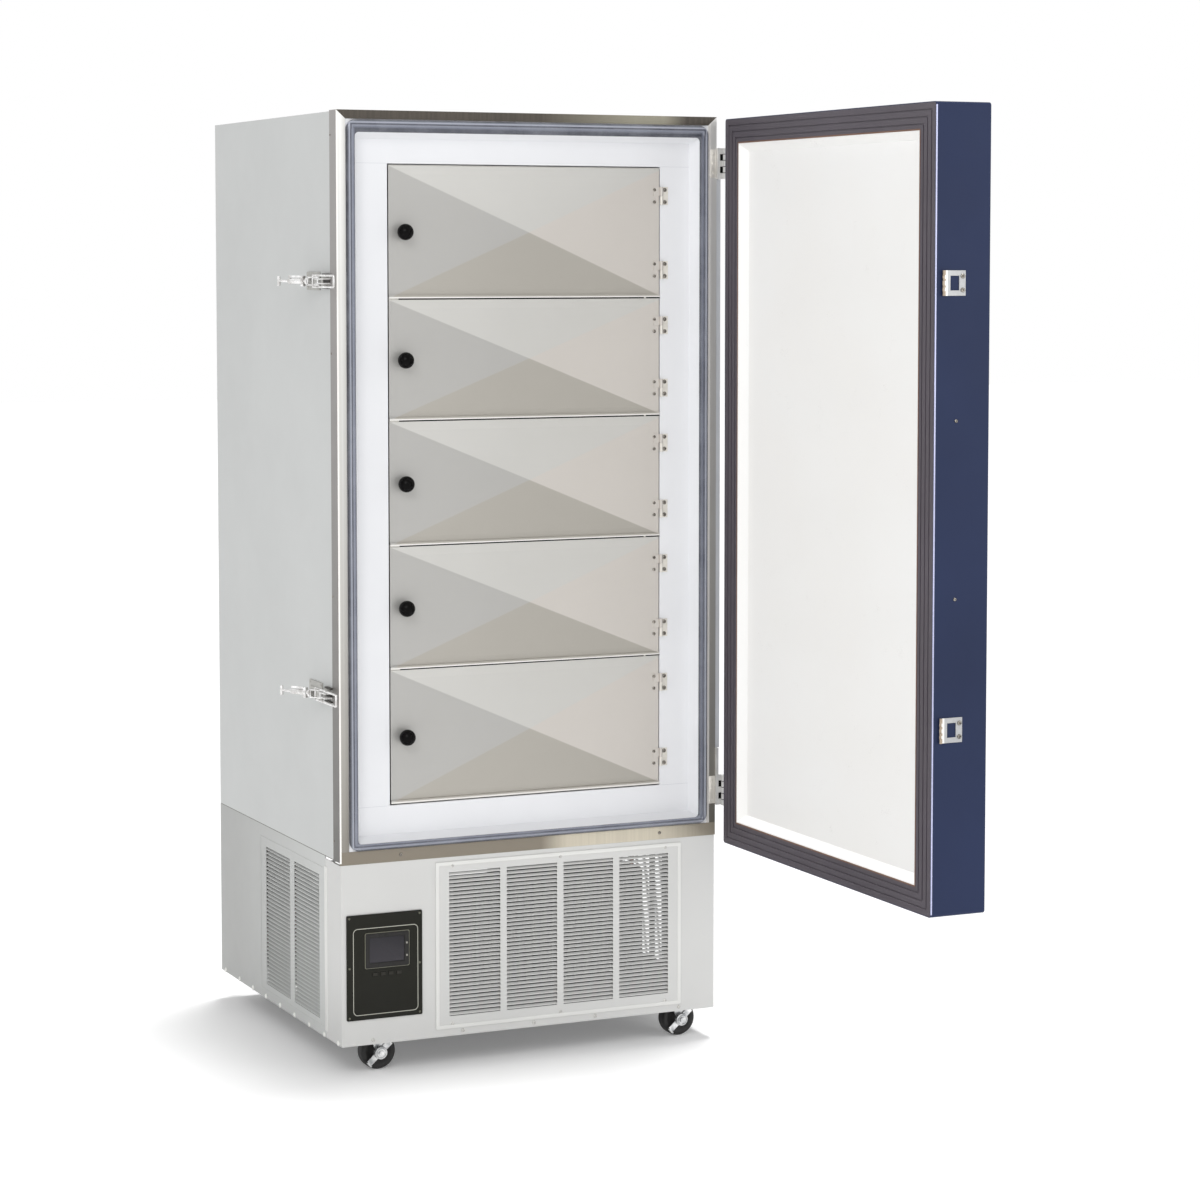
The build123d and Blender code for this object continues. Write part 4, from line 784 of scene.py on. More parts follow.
class Workpiece:
    """A mesh under construction, from the few steps that the pieces of this object need.

    The head profiles are shares of a head's radius and height, from its seat to its middle.
    """

    PAN_HEAD: Profile = ((1.0, 0.0), (1.0, 0.35), (0.93, 0.7), (0.76, 0.93), (0.6, 1.0))
    DOME: Profile = ((1.0, 0.0), (1.0, 0.2), (0.9, 0.6), (0.66, 0.9), (0.36, 1.0), (0.3, 0.75),
                     (0.0, 0.75))
    RECESS_ARM: float = 0.5
    RECESS_HALF: float = 0.13
    RECESS_TAPER: float = 0.7
    RECESS_FLOOR: float = 0.35
    SAME_PLACE: float = 0.00001

    def __init__(self) -> None:
        """Starts with nothing drawn."""
        self.mesh = bmesh.new()

    def _place(self, rings: Sequence[Ring], placing: Matrix) -> None:
        """Moves new vertices from a drawing's own axes to their place."""
        vertices = [vertex for ring in rings for vertex in ring]
        bmesh.ops.transform(self.mesh, matrix=placing, verts=vertices)

    def _ring(self, radius: float, height: float, steps: int) -> Ring:
        """Vertices round the outward axis, or a single one where the radius is 0."""
        if radius == 0:
            return [self.mesh.verts.new((0, 0, height))]
        angles = [2 * math.pi * step / steps for step in range(steps)]
        return [self.mesh.verts.new((radius * math.cos(angle), radius * math.sin(angle), height))
                for angle in angles]

    def _skin(self, low: Ring, high: Ring) -> None:
        """Joins two rings with faces; a ring of one vertex gives triangles."""
        steps = max(len(low), len(high))
        for step in range(steps):
            after = (step + 1) % steps
            corners = [low[step % len(low)], low[after % len(low)], high[after % len(high)],
                       high[step % len(high)]]
            self.mesh.faces.new(list(dict.fromkeys(corners)))

    def turned(self, profile: Sequence[Pair], placing: Matrix, steps: int = HEAD_STEPS) -> None:
        """Turns a profile about the outward axis.

        Args:
            profile: (radius, height) points; a radius of 0 closes an end.
            placing: where its foot stands.
            steps: divisions round the axis.
        """
        rings = [self._ring(radius, height, steps) for radius, height in profile]
        for low, high in zip(rings, rings[1:]):
            self._skin(low, high)
        self._place(rings, placing)

    def lofted(self, loops: Sequence[Sequence[Point]], placing: Matrix, close: bool = False) -> None:
        """Joins loops of equal length with a skin.

        Args:
            loops: closed loops of points.
            placing: where the drawing goes.
            close: True to join the last loop to the first, as round a ring.
        """
        rings = [[self.mesh.verts.new(point) for point in loop] for loop in loops]
        for low, high in list(zip(rings, rings[1:])) + ([(rings[-1], rings[0])] if close else []):
            self._skin(low, high)
        if not close:
            self.mesh.faces.new(list(reversed(rings[0])))
            self.mesh.faces.new(rings[-1])
        self._place(rings, placing)

    def plate(self, outline: Outline, depth: float, placing: Matrix, edge: float = 0.0) -> None:
        """A flat plate whose front edge may be eased.

        Args:
            outline: its points.
            depth: its thickness.
            placing: where the middle of its back face stands.
            edge: width of the eased edge.
        """
        loops = [[(x, y, 0) for x, y in outline], [(x, y, depth - edge) for x, y in outline]]
        if edge:
            reach = max(abs(x) for x, _ in outline)
            rise = max(abs(y) for _, y in outline)
            loops.append([(x * (1 - edge / reach), y * (1 - edge / rise), depth) for x, y in outline])
        self.lofted(loops, placing)

    def frame(self, outer: Outline, inner: Outline, depth: float, placing: Matrix, edge: float = 0.0) -> None:
        """A flat frame between two outlines of as many points.

        Args:
            outer: outline of its outside.
            inner: outline of its opening.
            depth: its thickness.
            placing: where the middle of its back plane stands.
            edge: share of its width that slopes at each side.
        """
        def between(share: float, height: float) -> list[Point]:
            """The loop that lies a share of the way from the outside to the opening."""
            return [(a[0] + share * (b[0] - a[0]), a[1] + share * (b[1] - a[1]), height)
                    for a, b in zip(outer, inner)]

        shoulder = depth * (1 - edge)
        section = ((0, 0), (0, shoulder), (edge, depth), (1 - edge, depth), (1, shoulder), (1, 0))
        self.lofted([between(share, height) for share, height in section], placing, close=True)

    def screw(self, placing: Matrix, radius: float, height: float = 0.0022) -> None:
        """A pan head with a cross recess.

        Args:
            placing: the middle of its seat.
            radius: radius of the head.
            height: height of the head.
        """
        rings = [self._ring(share * radius, rise * height, HEAD_STEPS) for share, rise in self.PAN_HEAD]
        for low, high in zip(rings, rings[1:]):
            self._skin(low, high)
        arm, half = self.RECESS_ARM * radius, self.RECESS_HALF * radius
        cross = [(arm, -half), (arm, half), (half, half), (half, arm), (-half, arm), (-half, half),
                 (-arm, half), (-arm, -half), (-half, -half), (-half, -arm), (half, -arm), (half, -half)]
        mouth = [self.mesh.verts.new((x, y, height)) for x, y in cross]
        taper, depth = self.RECESS_TAPER, self.RECESS_FLOOR * height
        floor = [self.mesh.verts.new((taper * x, taper * y, depth)) for x, y in cross]
        edges = [self.mesh.edges.new(pair) for pair in zip(mouth, mouth[1:] + mouth[:1])]
        rim = [self.mesh.edges.get(pair) for pair in zip(rings[-1], rings[-1][1:] + rings[-1][:1])]
        bmesh.ops.triangle_fill(self.mesh, edges=edges + rim, use_beauty=True)
        for step in range(len(cross)):
            after = (step + 1) % len(cross)
            self.mesh.faces.new((mouth[after], mouth[step], floor[step], floor[after]))
        self.mesh.faces.new(floor)
        self._place([*rings, mouth, floor], placing)

    def weld(self) -> None:
        """Merges vertices that lie in one place."""
        bmesh.ops.remove_doubles(self.mesh, verts=self.mesh.verts, dist=self.SAME_PLACE)

    def rivet(self, placing: Matrix, radius: float, height: float = 0.0013) -> None:
        """A domed rivet head with its small pin mark."""
        self.turned([(share * radius, rise * height) for share, rise in self.DOME], placing, RIVET_STEPS)

    def made(self, name: str, finish: Finish, body: str = "cabinet", stands_for: Sequence[str] = (),
             smooth: float = 40.0) -> None:
        """Finishes the mesh as a piece of the object.

        Args:
            name: the piece's name.
            finish: its finish.
            body: the CAD body that it rides on.
            stands_for: CAD nodes that it replaces.
            smooth: the angle in degrees under which faces are shaded as one.
        """
        bmesh.ops.recalc_face_normals(self.mesh, faces=self.mesh.faces)
        for face in self.mesh.faces:
            face.smooth = True
        for edge in self.mesh.edges:
            edge.smooth = len(edge.link_faces) == 2 and edge.calc_face_angle(0.0) < math.radians(smooth)
        data = bpy.data.meshes.new(name)
        self.mesh.to_mesh(data)
        self.mesh.free()
        data.materials.append(PALETTE.of(finish))
        piece = bpy.data.objects.new(name, data)
        bpy.context.collection.objects.link(piece)
        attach(piece, body)
        if stands_for:
            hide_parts(*stands_for)
        log.info("made %s with %d faces", name, len(data.polygons))


@dataclass(frozen=True)
class Slab:
    """Size of a flat plate: sides, thickness, corner radius, eased edge and divisions of a corner."""

    width: float
    height: float
    gauge: float
    corner: float
    edge: float = 0.0
    steps: int = CORNER

    def add(self, work: Workpiece, placing: Matrix) -> None:
        """Adds the plate to a mesh, with the middle of its back face at the placing."""
        outline = rounded(self.width, self.height, self.corner, self.steps)
        work.plate(outline, self.gauge, placing, self.edge)


def soften(name: str, width: float, segments: int = 2) -> None:
    """Eases the sharp edges of a CAD node with modifiers.

    Args:
        name: the node.
        width: width of the eased edge in metres.
        segments: divisions across it.
    """
    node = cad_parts[name]
    weld = node.modifiers.new("weld", "WELD")
    weld.merge_threshold = Workpiece.SAME_PLACE
    flat = node.modifiers.new("flat", "DECIMATE")
    flat.decimate_type = "DISSOLVE"
    flat.angle_limit = FLAT_ANGLE
    ease = node.modifiers.new("ease", "BEVEL")
    ease.width = width
    ease.segments = segments
    ease.limit_method = "ANGLE"
    ease.angle_limit = SHARP_ANGLE
    ease.harden_normals = True


FLAT_ANGLE = math.radians(1.0)
SHARP_ANGLE = math.radians(35.0)
SOFT_EDGES: dict[str, float] = {
    "cabinet_shell": 0.0008, "trim_frame": 0.0006, "breaker_frame": 0.0008, "lower_front_panel": 0.0010,
    "control_panel": 0.0006, "latch_keepers": 0.0004, "cabinet_hinges": 0.0004, "door_hinge_leaves": 0.0004,
    "hinge_cover_strip": 0.0008, "brake_pedal_left": 0.0007, "brake_pedal_right": 0.0007,
    "caster_fork_left": 0.0005, "caster_fork_right": 0.0005, "rear_caster_forks": 0.0005,
}


@dataclass
class InnerDoors:
    """Pale rim, black strips as painted shade in the gaps, black pulls and hinge fasteners of the five inner
    doors.
    """

    joints: tuple[float, ...] = (1.8865, 1.6109, 1.35915, 1.09945, 0.8424, 0.5615)
    face: float = -0.3735
    hinge_inset: float = 0.040
    hinge_height: float = 0.038
    screw_shares: Pair = (0.16, 0.84)
    frame_screw_x: float = 0.3213
    frame_screw_radius: float = 0.0044
    door_rivet_x: float = 0.2974
    door_rivet_radius: float = 0.0034
    leaf_gauge: float = 0.0015
    ball_radius: float = 0.0170
    ball_steps: tuple[int, int] = (3, 24)
    seat: Profile = ((0.0085, 0.0), (0.0085, 0.0012), (0.0062, 0.0022))
    neck: Profile = ((0.0058, 0.35), (0.0062, 0.8))
    rim_width: float = 0.0011
    rim_recess: float = 0.0010
    rim_depth: float = 0.006
    gap: float = 0.0030
    gap_clearance: float = 0.0003
    gap_corner: float = 0.0003
    gap_forward: float = 0.0007
    left: float = -0.3085
    right: float = 0.3165
    low: float = 0.5615
    high: float = 1.8865
    left_end: float = 0.022
    notch_place: float = 0.276
    notch_width: float = 0.005

    def knob(self, number: int) -> None:
        """Turns one black pull."""
        low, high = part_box(f"inner_door_knob_{number}")
        at = ((low[0] + high[0]) / 2, high[1], (low[2] + high[2]) / 2)
        length = high[1] - low[1]
        neck = length - 2 * self.ball_radius
        profile = [*self.seat, *((radius, share * neck) for radius, share in self.neck)]
        start, stop = self.ball_steps
        for step in range(start, stop + 1):
            angle = math.pi * step / stop
            profile.append((self.ball_radius * math.sin(angle) if step < stop else 0,
                            neck + self.ball_radius * (1 - math.cos(angle))))
        piece = Workpiece()
        piece.turned(profile, Facing.FRONT.matrix(at), FINE_STEPS)
        piece.made(f"knob_{number}", KNOB_BLACK, f"inner_door_{number}",
                   (f"inner_door_knob_{number}",))

    def hinge_places(self, number: int) -> list[float]:
        """Heights of the fasteners of one door's two hinges."""
        top, bottom = self.joints[number - 1], self.joints[number]
        feet = (bottom + self.hinge_inset, top - self.hinge_inset - self.hinge_height)
        return [foot + share * self.hinge_height for foot in feet for share in self.screw_shares]

    def bar(self, work: Workpiece, place: Point, across: float, up: float, corner: float,
            depth: float) -> None:
        """Adds one thin bar that faces the front.

        Args:
            work: takes the bar.
            place: the middle of its back face.
            across: its width.
            up: its height.
            corner: radius of its corners.
            depth: its thickness.
        """
        work.plate(rounded(across, up, corner, COARSE_CORNER), depth, Facing.FRONT.matrix(place))

    def rim(self) -> None:
        """Lays the pale rim round the doors, and black strips as painted shade in the gaps between them, with
        their pale ends.
        """
        back = self.face + self.rim_recess + self.rim_depth
        height, width, strip = self.high - self.low, self.right - self.left, self.rim_width
        middle_x, middle_z = (self.left + self.right) / 2, (self.low + self.high) / 2
        gap = self.gap - 2 * self.gap_clearance
        rims = [(self.left + strip / 2, middle_z, strip, height),
                (middle_x, self.high - strip / 2, width, strip),
                (middle_x, self.low + strip / 2, width, strip)]
        gaps = []
        start, stop = self.left + self.left_end, self.notch_place - self.notch_width / 2
        for joint in self.joints[1:-1]:
            rims += [(self.left + self.left_end / 2, joint, self.left_end, gap),
                     (self.notch_place, joint, self.notch_width, gap)]
            gaps += [((near + far) / 2, joint, far - near, gap)
                     for near, far in ((start, stop), (stop + self.notch_width, self.right - strip))]
        # The gap strips are black sheets that paint the shade in the gaps between the doors.
        for name, finish, bars, corner, depth in (
                ("inner_door_rim", RIM_PALE, rims, strip / 4, self.rim_depth),
                ("inner_door_gaps", SHADE_BLACK, gaps, self.gap_corner, self.rim_depth + self.gap_forward)):
            work = Workpiece()
            for x, z, across, up in bars:
                self.bar(work, (x, back, z), across, up, corner, depth)
            work.made(name, finish)

    def build(self) -> None:
        """Builds every pull and fastener."""
        self.rim()
        screws = Workpiece()
        for number in range(1, 6):
            self.knob(number)
            rivets = Workpiece()
            for height in self.hinge_places(number):
                for place, step, radius in ((self.frame_screw_x, screws.screw, self.frame_screw_radius),
                                            (self.door_rivet_x, rivets.rivet, self.door_rivet_radius)):
                    step(Facing.FRONT.matrix((place, self.face - self.leaf_gauge, height)), radius)
            rivets.made(f"inner_door_rivets_{number}", SCREW_ZINC, f"inner_door_{number}")
        screws.made("inner_hinge_screws", SCREW_ZINC)


@dataclass
class MouthSeal:
    """Soft bellows seal round the mouth, and the seams of the white frame."""

    outer_width: float = 0.8210
    outer_low: float = 0.4743
    outer_high: float = 1.9767
    side: float = 0.0185
    top: float = 0.0255
    bottom: float = 0.0130
    seat: float = -0.4001
    outer_corner: float = 0.020
    inner_corner: float = 0.009
    section: Profile = (
        (0.0, 0.0), (0.0, 0.0040), (0.04, 0.0060), (0.14, 0.0075), (0.30, 0.0082), (0.42, 0.0074),
        (0.50, 0.0054), (0.57, 0.0058), (0.66, 0.0066), (0.84, 0.0068), (0.95, 0.0056), (1.0, 0.0034),
        (1.0, 0.0))
    seam_heights: Pair = (1.8895, 0.5585)
    seam_near: float = 0.3112
    seam_far: float = 0.3797
    seam_width: float = 0.0006
    seam_gauge: float = 0.0001
    face: float = -0.3735
    smooth: float = 80.0

    def build(self) -> None:
        """Builds the seal and the seams."""
        middle = (self.outer_low + self.outer_high) / 2
        outer = rounded(self.outer_width, self.outer_high - self.outer_low, self.outer_corner, FINE_CORNER)
        inner_high = self.outer_high - self.top
        inner_low = self.outer_low + self.bottom
        inner_width = self.outer_width - 2 * self.side
        inner = rounded(inner_width, inner_high - inner_low, self.inner_corner, FINE_CORNER)
        shift = (inner_high + inner_low) / 2 - middle
        loops = [[(a[0] + share * (b[0] - a[0]), a[1] + share * (b[1] + shift - a[1]), rise)
                  for a, b in zip(outer, inner)] for share, rise in self.section]
        seal = Workpiece()
        seal.lofted(loops, Facing.FRONT.matrix((0, self.seat, middle)), close=True)
        seal.made("mouth_seal", SEAL_GREY, "cabinet", ("cabinet_gasket",), self.smooth)
        seams = Workpiece()
        length = self.seam_far - self.seam_near
        outline = rounded(length, self.seam_width, self.seam_width / 4, COARSE_CORNER)
        for height in self.seam_heights:
            for side in (-1, 1):
                at = (side * (self.seam_near + self.seam_far) / 2, self.face, height)
                seams.plate(outline, self.seam_gauge, Facing.FRONT.matrix(at))
        seams.made("frame_seams", SEAM_GREY)


@dataclass
class OuterDoorDetail:
    """Folded edge with a painted highlight, brown seal edge and fasteners of the outer door, which stands
    open.
    """

    inner_plane: float = 0.4398
    free_edge: float = -1.3033
    low: float = 0.4330
    high: float = 1.9905
    seal_width: float = 0.061
    seal_height: float = 0.053
    near_edge: float = -0.4273
    fold_width: float = 0.0030
    fold_gauge: float = 0.0004
    fold_ends: float = 0.012
    corner: float = 0.0008
    line_width: float = 0.0030
    line_gauge: float = 0.0006
    line_slope: float = 0.2
    line_lift: float = 0.0001
    screw_heights: Pair = (1.386, 1.045)
    screw_x: float = 0.488
    screw_radius: float = 0.0034
    keeper_levels: Pair = (1.648, 0.794)
    keeper_screw_x: float = 0.4993
    keeper_screw_up: float = 0.0132
    keeper_gauge: float = 0.0018
    keeper_head: Pair = (0.0046, 0.0026)

    def build(self) -> None:
        """Builds the door's details."""
        middle_y = (self.free_edge + self.near_edge) / 2
        middle_z = (self.low + self.high) / 2
        width = self.near_edge - self.free_edge
        height = self.high - self.low
        # A pale strip on the door's free edge, painted as the highlight of the skin's fold.
        fold = Workpiece()
        at = (self.inner_plane + self.fold_width / 2, self.free_edge, middle_z)
        outline = rounded(self.fold_width, height - self.fold_ends, self.corner, SMALL_CORNER)
        fold.plate(outline, self.fold_gauge, Facing.FRONT.matrix(at))
        fold.made("door_fold_highlight", EDGE_HIGHLIGHT, "outer_door")
        line = Workpiece()
        across, up = width - 2 * self.seal_width, height - 2 * self.seal_height
        both = 2 * self.line_width
        outer = rounded(across + both, up + both, self.line_width, SMALL_CORNER)
        inner = rounded(across, up, self.corner, SMALL_CORNER)
        placing = Facing.LEFT.matrix((self.inner_plane + self.line_lift, middle_y, middle_z))
        line.frame(outer, inner, self.line_gauge, placing, self.line_slope)
        line.made("door_seal_edge", EDGE_BROWN, "outer_door")
        screws = Workpiece()
        for level in self.screw_heights:
            screws.screw(Facing.FRONT.matrix((self.screw_x, self.free_edge, level)), self.screw_radius)
        for level in self.keeper_levels:
            for side in (-1, 1):
                at = (self.keeper_screw_x, self.free_edge - self.keeper_gauge,
                      level + side * self.keeper_screw_up)
                screws.screw(Facing.FRONT.matrix(at), *self.keeper_head)
        screws.made("door_screws", SCREW_ZINC, "outer_door")


@dataclass
class ControlFace:
    """Outline, bezel, screen, lamps and fasteners of the control panel."""

    front: float = -0.4045
    outline_x: Pair = (-0.4055, -0.2615)
    outline_z: Pair = (0.130, 0.312)
    outline_corner: float = 0.010
    outline_width: float = 0.0013
    outline_gauge: float = 0.00015
    outline_slope: float = 0.15
    bezel_x: Pair = (-0.3798, -0.2813)
    bezel_z: Pair = (0.2266, 0.3016)
    screen_x: Pair = (-0.3698, -0.2928)
    screen_z: Pair = (0.238, 0.291)
    bezel_front: float = -0.4068
    bezel_back: float = 0.0005
    bezel_inset: float = 0.0026
    bezel_slope: float = 0.06
    edge_share: float = 0.8
    edge_slope: float = 0.2
    screen_share: float = 0.6
    screen_edge: float = 0.0004
    edge_corner: float = 0.0035
    bezel_corner: float = 0.003
    case_corner: float = 0.002
    screen_corner: float = 0.001
    lamp_x: float = -0.2873
    lamp_z: Pair = (0.249, 0.275)
    lamp_sink: float = 0.0004
    lamp: Profile = ((0.0022, 0.0), (0.0021, 0.0005), (0.0014, 0.0010), (0.0, 0.0012))
    case_back: float = -0.3775
    case_inset: float = 0.008
    screw_x: Pair = (-0.4135, -0.2580)
    screw_z: tuple[float, float, float] = (0.1260, 0.2300, 0.3345)
    screw_head: Pair = (0.0024, 0.0010)

    def build(self) -> None:
        """Builds the face of the control panel."""
        across = self.outline_x[1] - self.outline_x[0]
        up = self.outline_z[1] - self.outline_z[0]
        at = (sum(self.outline_x) / 2, self.front, sum(self.outline_z) / 2)
        inset = 2 * self.outline_width
        line = Workpiece()
        line.frame(rounded(across, up, self.outline_corner, FINE_CORNER),
                   rounded(across - inset, up - inset, self.outline_corner - self.outline_width, FINE_CORNER),
                   self.outline_gauge, Facing.FRONT.matrix(at), self.outline_slope)
        line.made("panel_outline", LINE_PALE)
        self.display()
        screws = Workpiece()
        for x in self.screw_x:
            for z in self.screw_z:
                screws.screw(Facing.FRONT.matrix((x, self.front, z)), *self.screw_head)
        screws.made("control_panel_screws", SCREW_DARK)

    def display(self) -> None:
        """Builds bezel, screen, lamps and the case behind them, in place of the CAD display."""
        width, height = self.bezel_x[1] - self.bezel_x[0], self.bezel_z[1] - self.bezel_z[0]
        middle = (sum(self.bezel_x) / 2, self.front + self.bezel_back, sum(self.bezel_z) / 2)
        depth = middle[1] - self.bezel_front
        view_w, view_h = self.screen_x[1] - self.screen_x[0], self.screen_z[1] - self.screen_z[0]
        shift = (sum(self.screen_x) / 2 - middle[0], sum(self.screen_z) / 2 - middle[2])
        outer = rounded(width - self.bezel_inset, height - self.bezel_inset, self.bezel_corner)
        screen_outline = rounded(view_w, view_h, self.screen_corner)
        inner = [(x + shift[0], y + shift[1]) for x, y in screen_outline]
        front = Facing.FRONT.matrix(middle)
        bezel = Workpiece()
        bezel.frame(outer, inner, depth, front, self.bezel_slope)
        case = rounded(width - self.case_inset, height - self.case_inset, self.case_corner)
        bezel.plate(case, self.case_back - middle[1], Facing.BACK.matrix(middle))
        bezel.made("display_bezel", BEZEL_BLACK, "cabinet", ("display_module",))
        edge = Workpiece()
        rim = rounded(width, height, self.edge_corner)
        edge.frame(rim, outer, depth * self.edge_share, front, self.edge_slope)
        edge.made("display_edge", BEZEL_EDGE)
        screen = Workpiece()
        place = (middle[0] + shift[0], middle[1], middle[2] + shift[1])
        screen.plate(screen_outline, depth * self.screen_share, Facing.FRONT.matrix(place), self.screen_edge)
        screen.made("display_screen", SCREEN_GREY)
        lamps = Workpiece()
        for z in self.lamp_z:
            lamps.turned(self.lamp, Facing.FRONT.matrix((self.lamp_x, self.bezel_front + self.lamp_sink, z)))
        lamps.made("display_lamps", LAMP_CLEAR)


@dataclass
class Wheel:
    """One caster wheel with a rounded tyre, a ribbed side and a hub."""

    half_width: float = 0.015
    hub_reach: float = 0.017
    hub: Profile = ((0.0042, 0.0), (0.0095, 0.0), (0.0105, 0.0006))
    tyre: Profile = ((0.0112, 0.0020), (0.0130, 0.0032), (0.0235, 0.0032), (0.0255, 0.0010),
                     (0.0300, 0.0), (0.0345, 0.0002), (0.0368, 0.0018), (0.0378, 0.0045),
                     (0.038, 0.0090))
    steps: int = 56
    smooth: float = 50.0

    def profile(self) -> Outline:
        """Its half section from one end of the bore to the other, as (radius, height)."""
        side = [(radius, rise - self.hub_reach) for radius, rise in self.hub]
        side += [(radius, rise - self.half_width) for radius, rise in self.tyre]
        return side + [(radius, -height) for radius, height in reversed(side)]

    def build(self, name: str, facing: Facing) -> None:
        """Builds one wheel in place of its CAD node.

        Args:
            name: the node and body.
            facing: the way its axle points.
        """
        low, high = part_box(name)
        at = tuple((low[axis] + high[axis]) / 2 for axis in range(3))
        wheel = Workpiece()
        outline = self.profile()
        wheel.turned(outline + [outline[0]], facing.matrix(at), self.steps)
        wheel.weld()
        wheel.made(name + "_tyre", WHEEL_DARK, name, (name,), self.smooth)


@dataclass(frozen=True)
class FastenerRows:
    """Equal screws or rivets on one face, at every crossing of two lists of places."""

    facing: Facing
    level: float
    across: tuple[float, ...]
    heights: tuple[float, ...]
    head: Pair
    domed: bool = False

    def add(self, work: Workpiece) -> None:
        """Adds them to a mesh."""
        step = work.rivet if self.domed else work.screw
        sideways = self.facing in (Facing.LEFT, Facing.RIGHT)
        for height in self.heights:
            for place in self.across:
                x, y = (self.level, place) if sideways else (place, self.level)
                step(self.facing.matrix((x, y, height)), *self.head)


@dataclass
class Fasteners:
    """Screws and rivets of the cabinet, on its front, sides and back."""

    groups: tuple[tuple[str, Finish, tuple[FastenerRows, ...]], ...] = (
        ("panel_fasteners", SCREW_PALE, (
            FastenerRows(Facing.FRONT, -0.4015, (-0.3610, -0.1600, 0.0030, 0.1460, 0.3450), (0.0755,),
                         (0.0042, 0.0022)),
            FastenerRows(Facing.FRONT, -0.4030, (-0.1840, 0.0640, 0.3110), (0.0930, 0.4275),
                         (0.0036, 0.0018)),
            FastenerRows(Facing.BACK, 0.4015, (-0.405, -0.2, 0.0, 0.2, 0.405), (0.080, 0.437, 0.470, 1.980),
                         (0.0042, 0.0020)),
            FastenerRows(Facing.BACK, 0.4015, (-0.415, 0.415), (0.75, 1.00, 1.25, 1.50, 1.75),
                         (0.0032, 0.0013), domed=True))),
        ("side_rivets", BUMP_PALE, tuple(
            FastenerRows(facing, side * 0.4298,
                         (-0.380, -0.295, -0.200, -0.105, -0.010, 0.085, 0.175, 0.270, 0.370), (0.0705,),
                         (0.0058, 0.0026), domed=True) for side, facing in SIDES)),
        ("trim_fasteners", SCREW_ZINC, (
            FastenerRows(Facing.FRONT, -0.4015, (-0.298, 0.298), (0.4600,), (0.0036, 0.0018)),
            FastenerRows(Facing.LEFT, -0.4318, (-0.3665,), (1.945, 1.500, 1.000, 0.492), (0.0024, 0.0010),
                         domed=True),
            FastenerRows(Facing.RIGHT, 0.4318, (-0.3665,), (1.945, 0.492), (0.0024, 0.0010), domed=True))))

    def build(self) -> None:
        """Builds the groups of fasteners, each one a piece."""
        for name, finish, rows in self.groups:
            work = Workpiece()
            for row in rows:
                row.add(work)
            work.made(name, finish)


@dataclass
class PanelRims:
    """Rolled edges of the front grille and of the vents in the sides, and the seams above the vents."""

    grille: Limits = (-0.2210, 0.3485, 0.0826, 0.4361)
    grille_front: float = -0.4029
    roll: float = 0.0075
    roll_height: float = 0.0016
    vent: Limits = (-0.3000, 0.1180, 0.0830, 0.4250)
    skin: float = 0.4297
    vent_roll: float = 0.0040
    vent_height: float = 0.0007
    strip: Slab = Slab(0.0150, 0.3500, 0.0015, 0.003, 0.0012)
    strip_place: Pair = (-0.3085, 0.2550)
    slope: float = 0.3
    seam: Slab = Slab(0.760, 0.0016, 0.00015, 0.0004, steps=COARSE_CORNER)
    seam_middle: float = 0.0150
    seam_height: float = 0.4515

    def ring(self, limits: Limits, roll: float, height: float, facing: Facing,
             level: float, work: Workpiece) -> None:
        """Adds one rolled edge round a panel.

        Args:
            limits: the panel's low and high side and its bottom and top.
            roll: width of the roll.
            height: how far it stands out.
            facing: the way the panel looks.
            level: the place of its face along that way.
            work: the mesh that takes it.
        """
        low, high, bottom, top = limits
        across, up, middle = high - low, top - bottom, ((low + high) / 2, (bottom + top) / 2)
        at = (middle[0], level, middle[1]) if facing is Facing.FRONT else (level, middle[0], middle[1])
        work.frame(rounded(across, up, roll / 2), rounded(across - 2 * roll, up - 2 * roll, roll / 4), height,
                   facing.matrix(at), self.slope)

    def build(self) -> None:
        """Builds all rolled edges and the seams."""
        front = Workpiece()
        self.ring(self.grille, self.roll, self.roll_height, Facing.FRONT, self.grille_front, front)
        sides, seams = Workpiece(), Workpiece()
        for side, facing in SIDES:
            self.ring(self.vent, self.vent_roll, self.vent_height, facing, side * self.skin, sides)
            at = (side * self.skin, *self.strip_place)
            self.strip.add(front, facing.matrix(at))
            self.seam.add(seams, facing.matrix((side * self.skin, self.seam_middle, self.seam_height)))
        seams.made("side_seams", SEAM_SIDE)
        # The grille's roll and the side strips take the lighter paint as a painted highlight.
        front.made("panel_rolls", ROLL_PAINT)
        sides.made("vent_rolls", SIDE_PAINT)


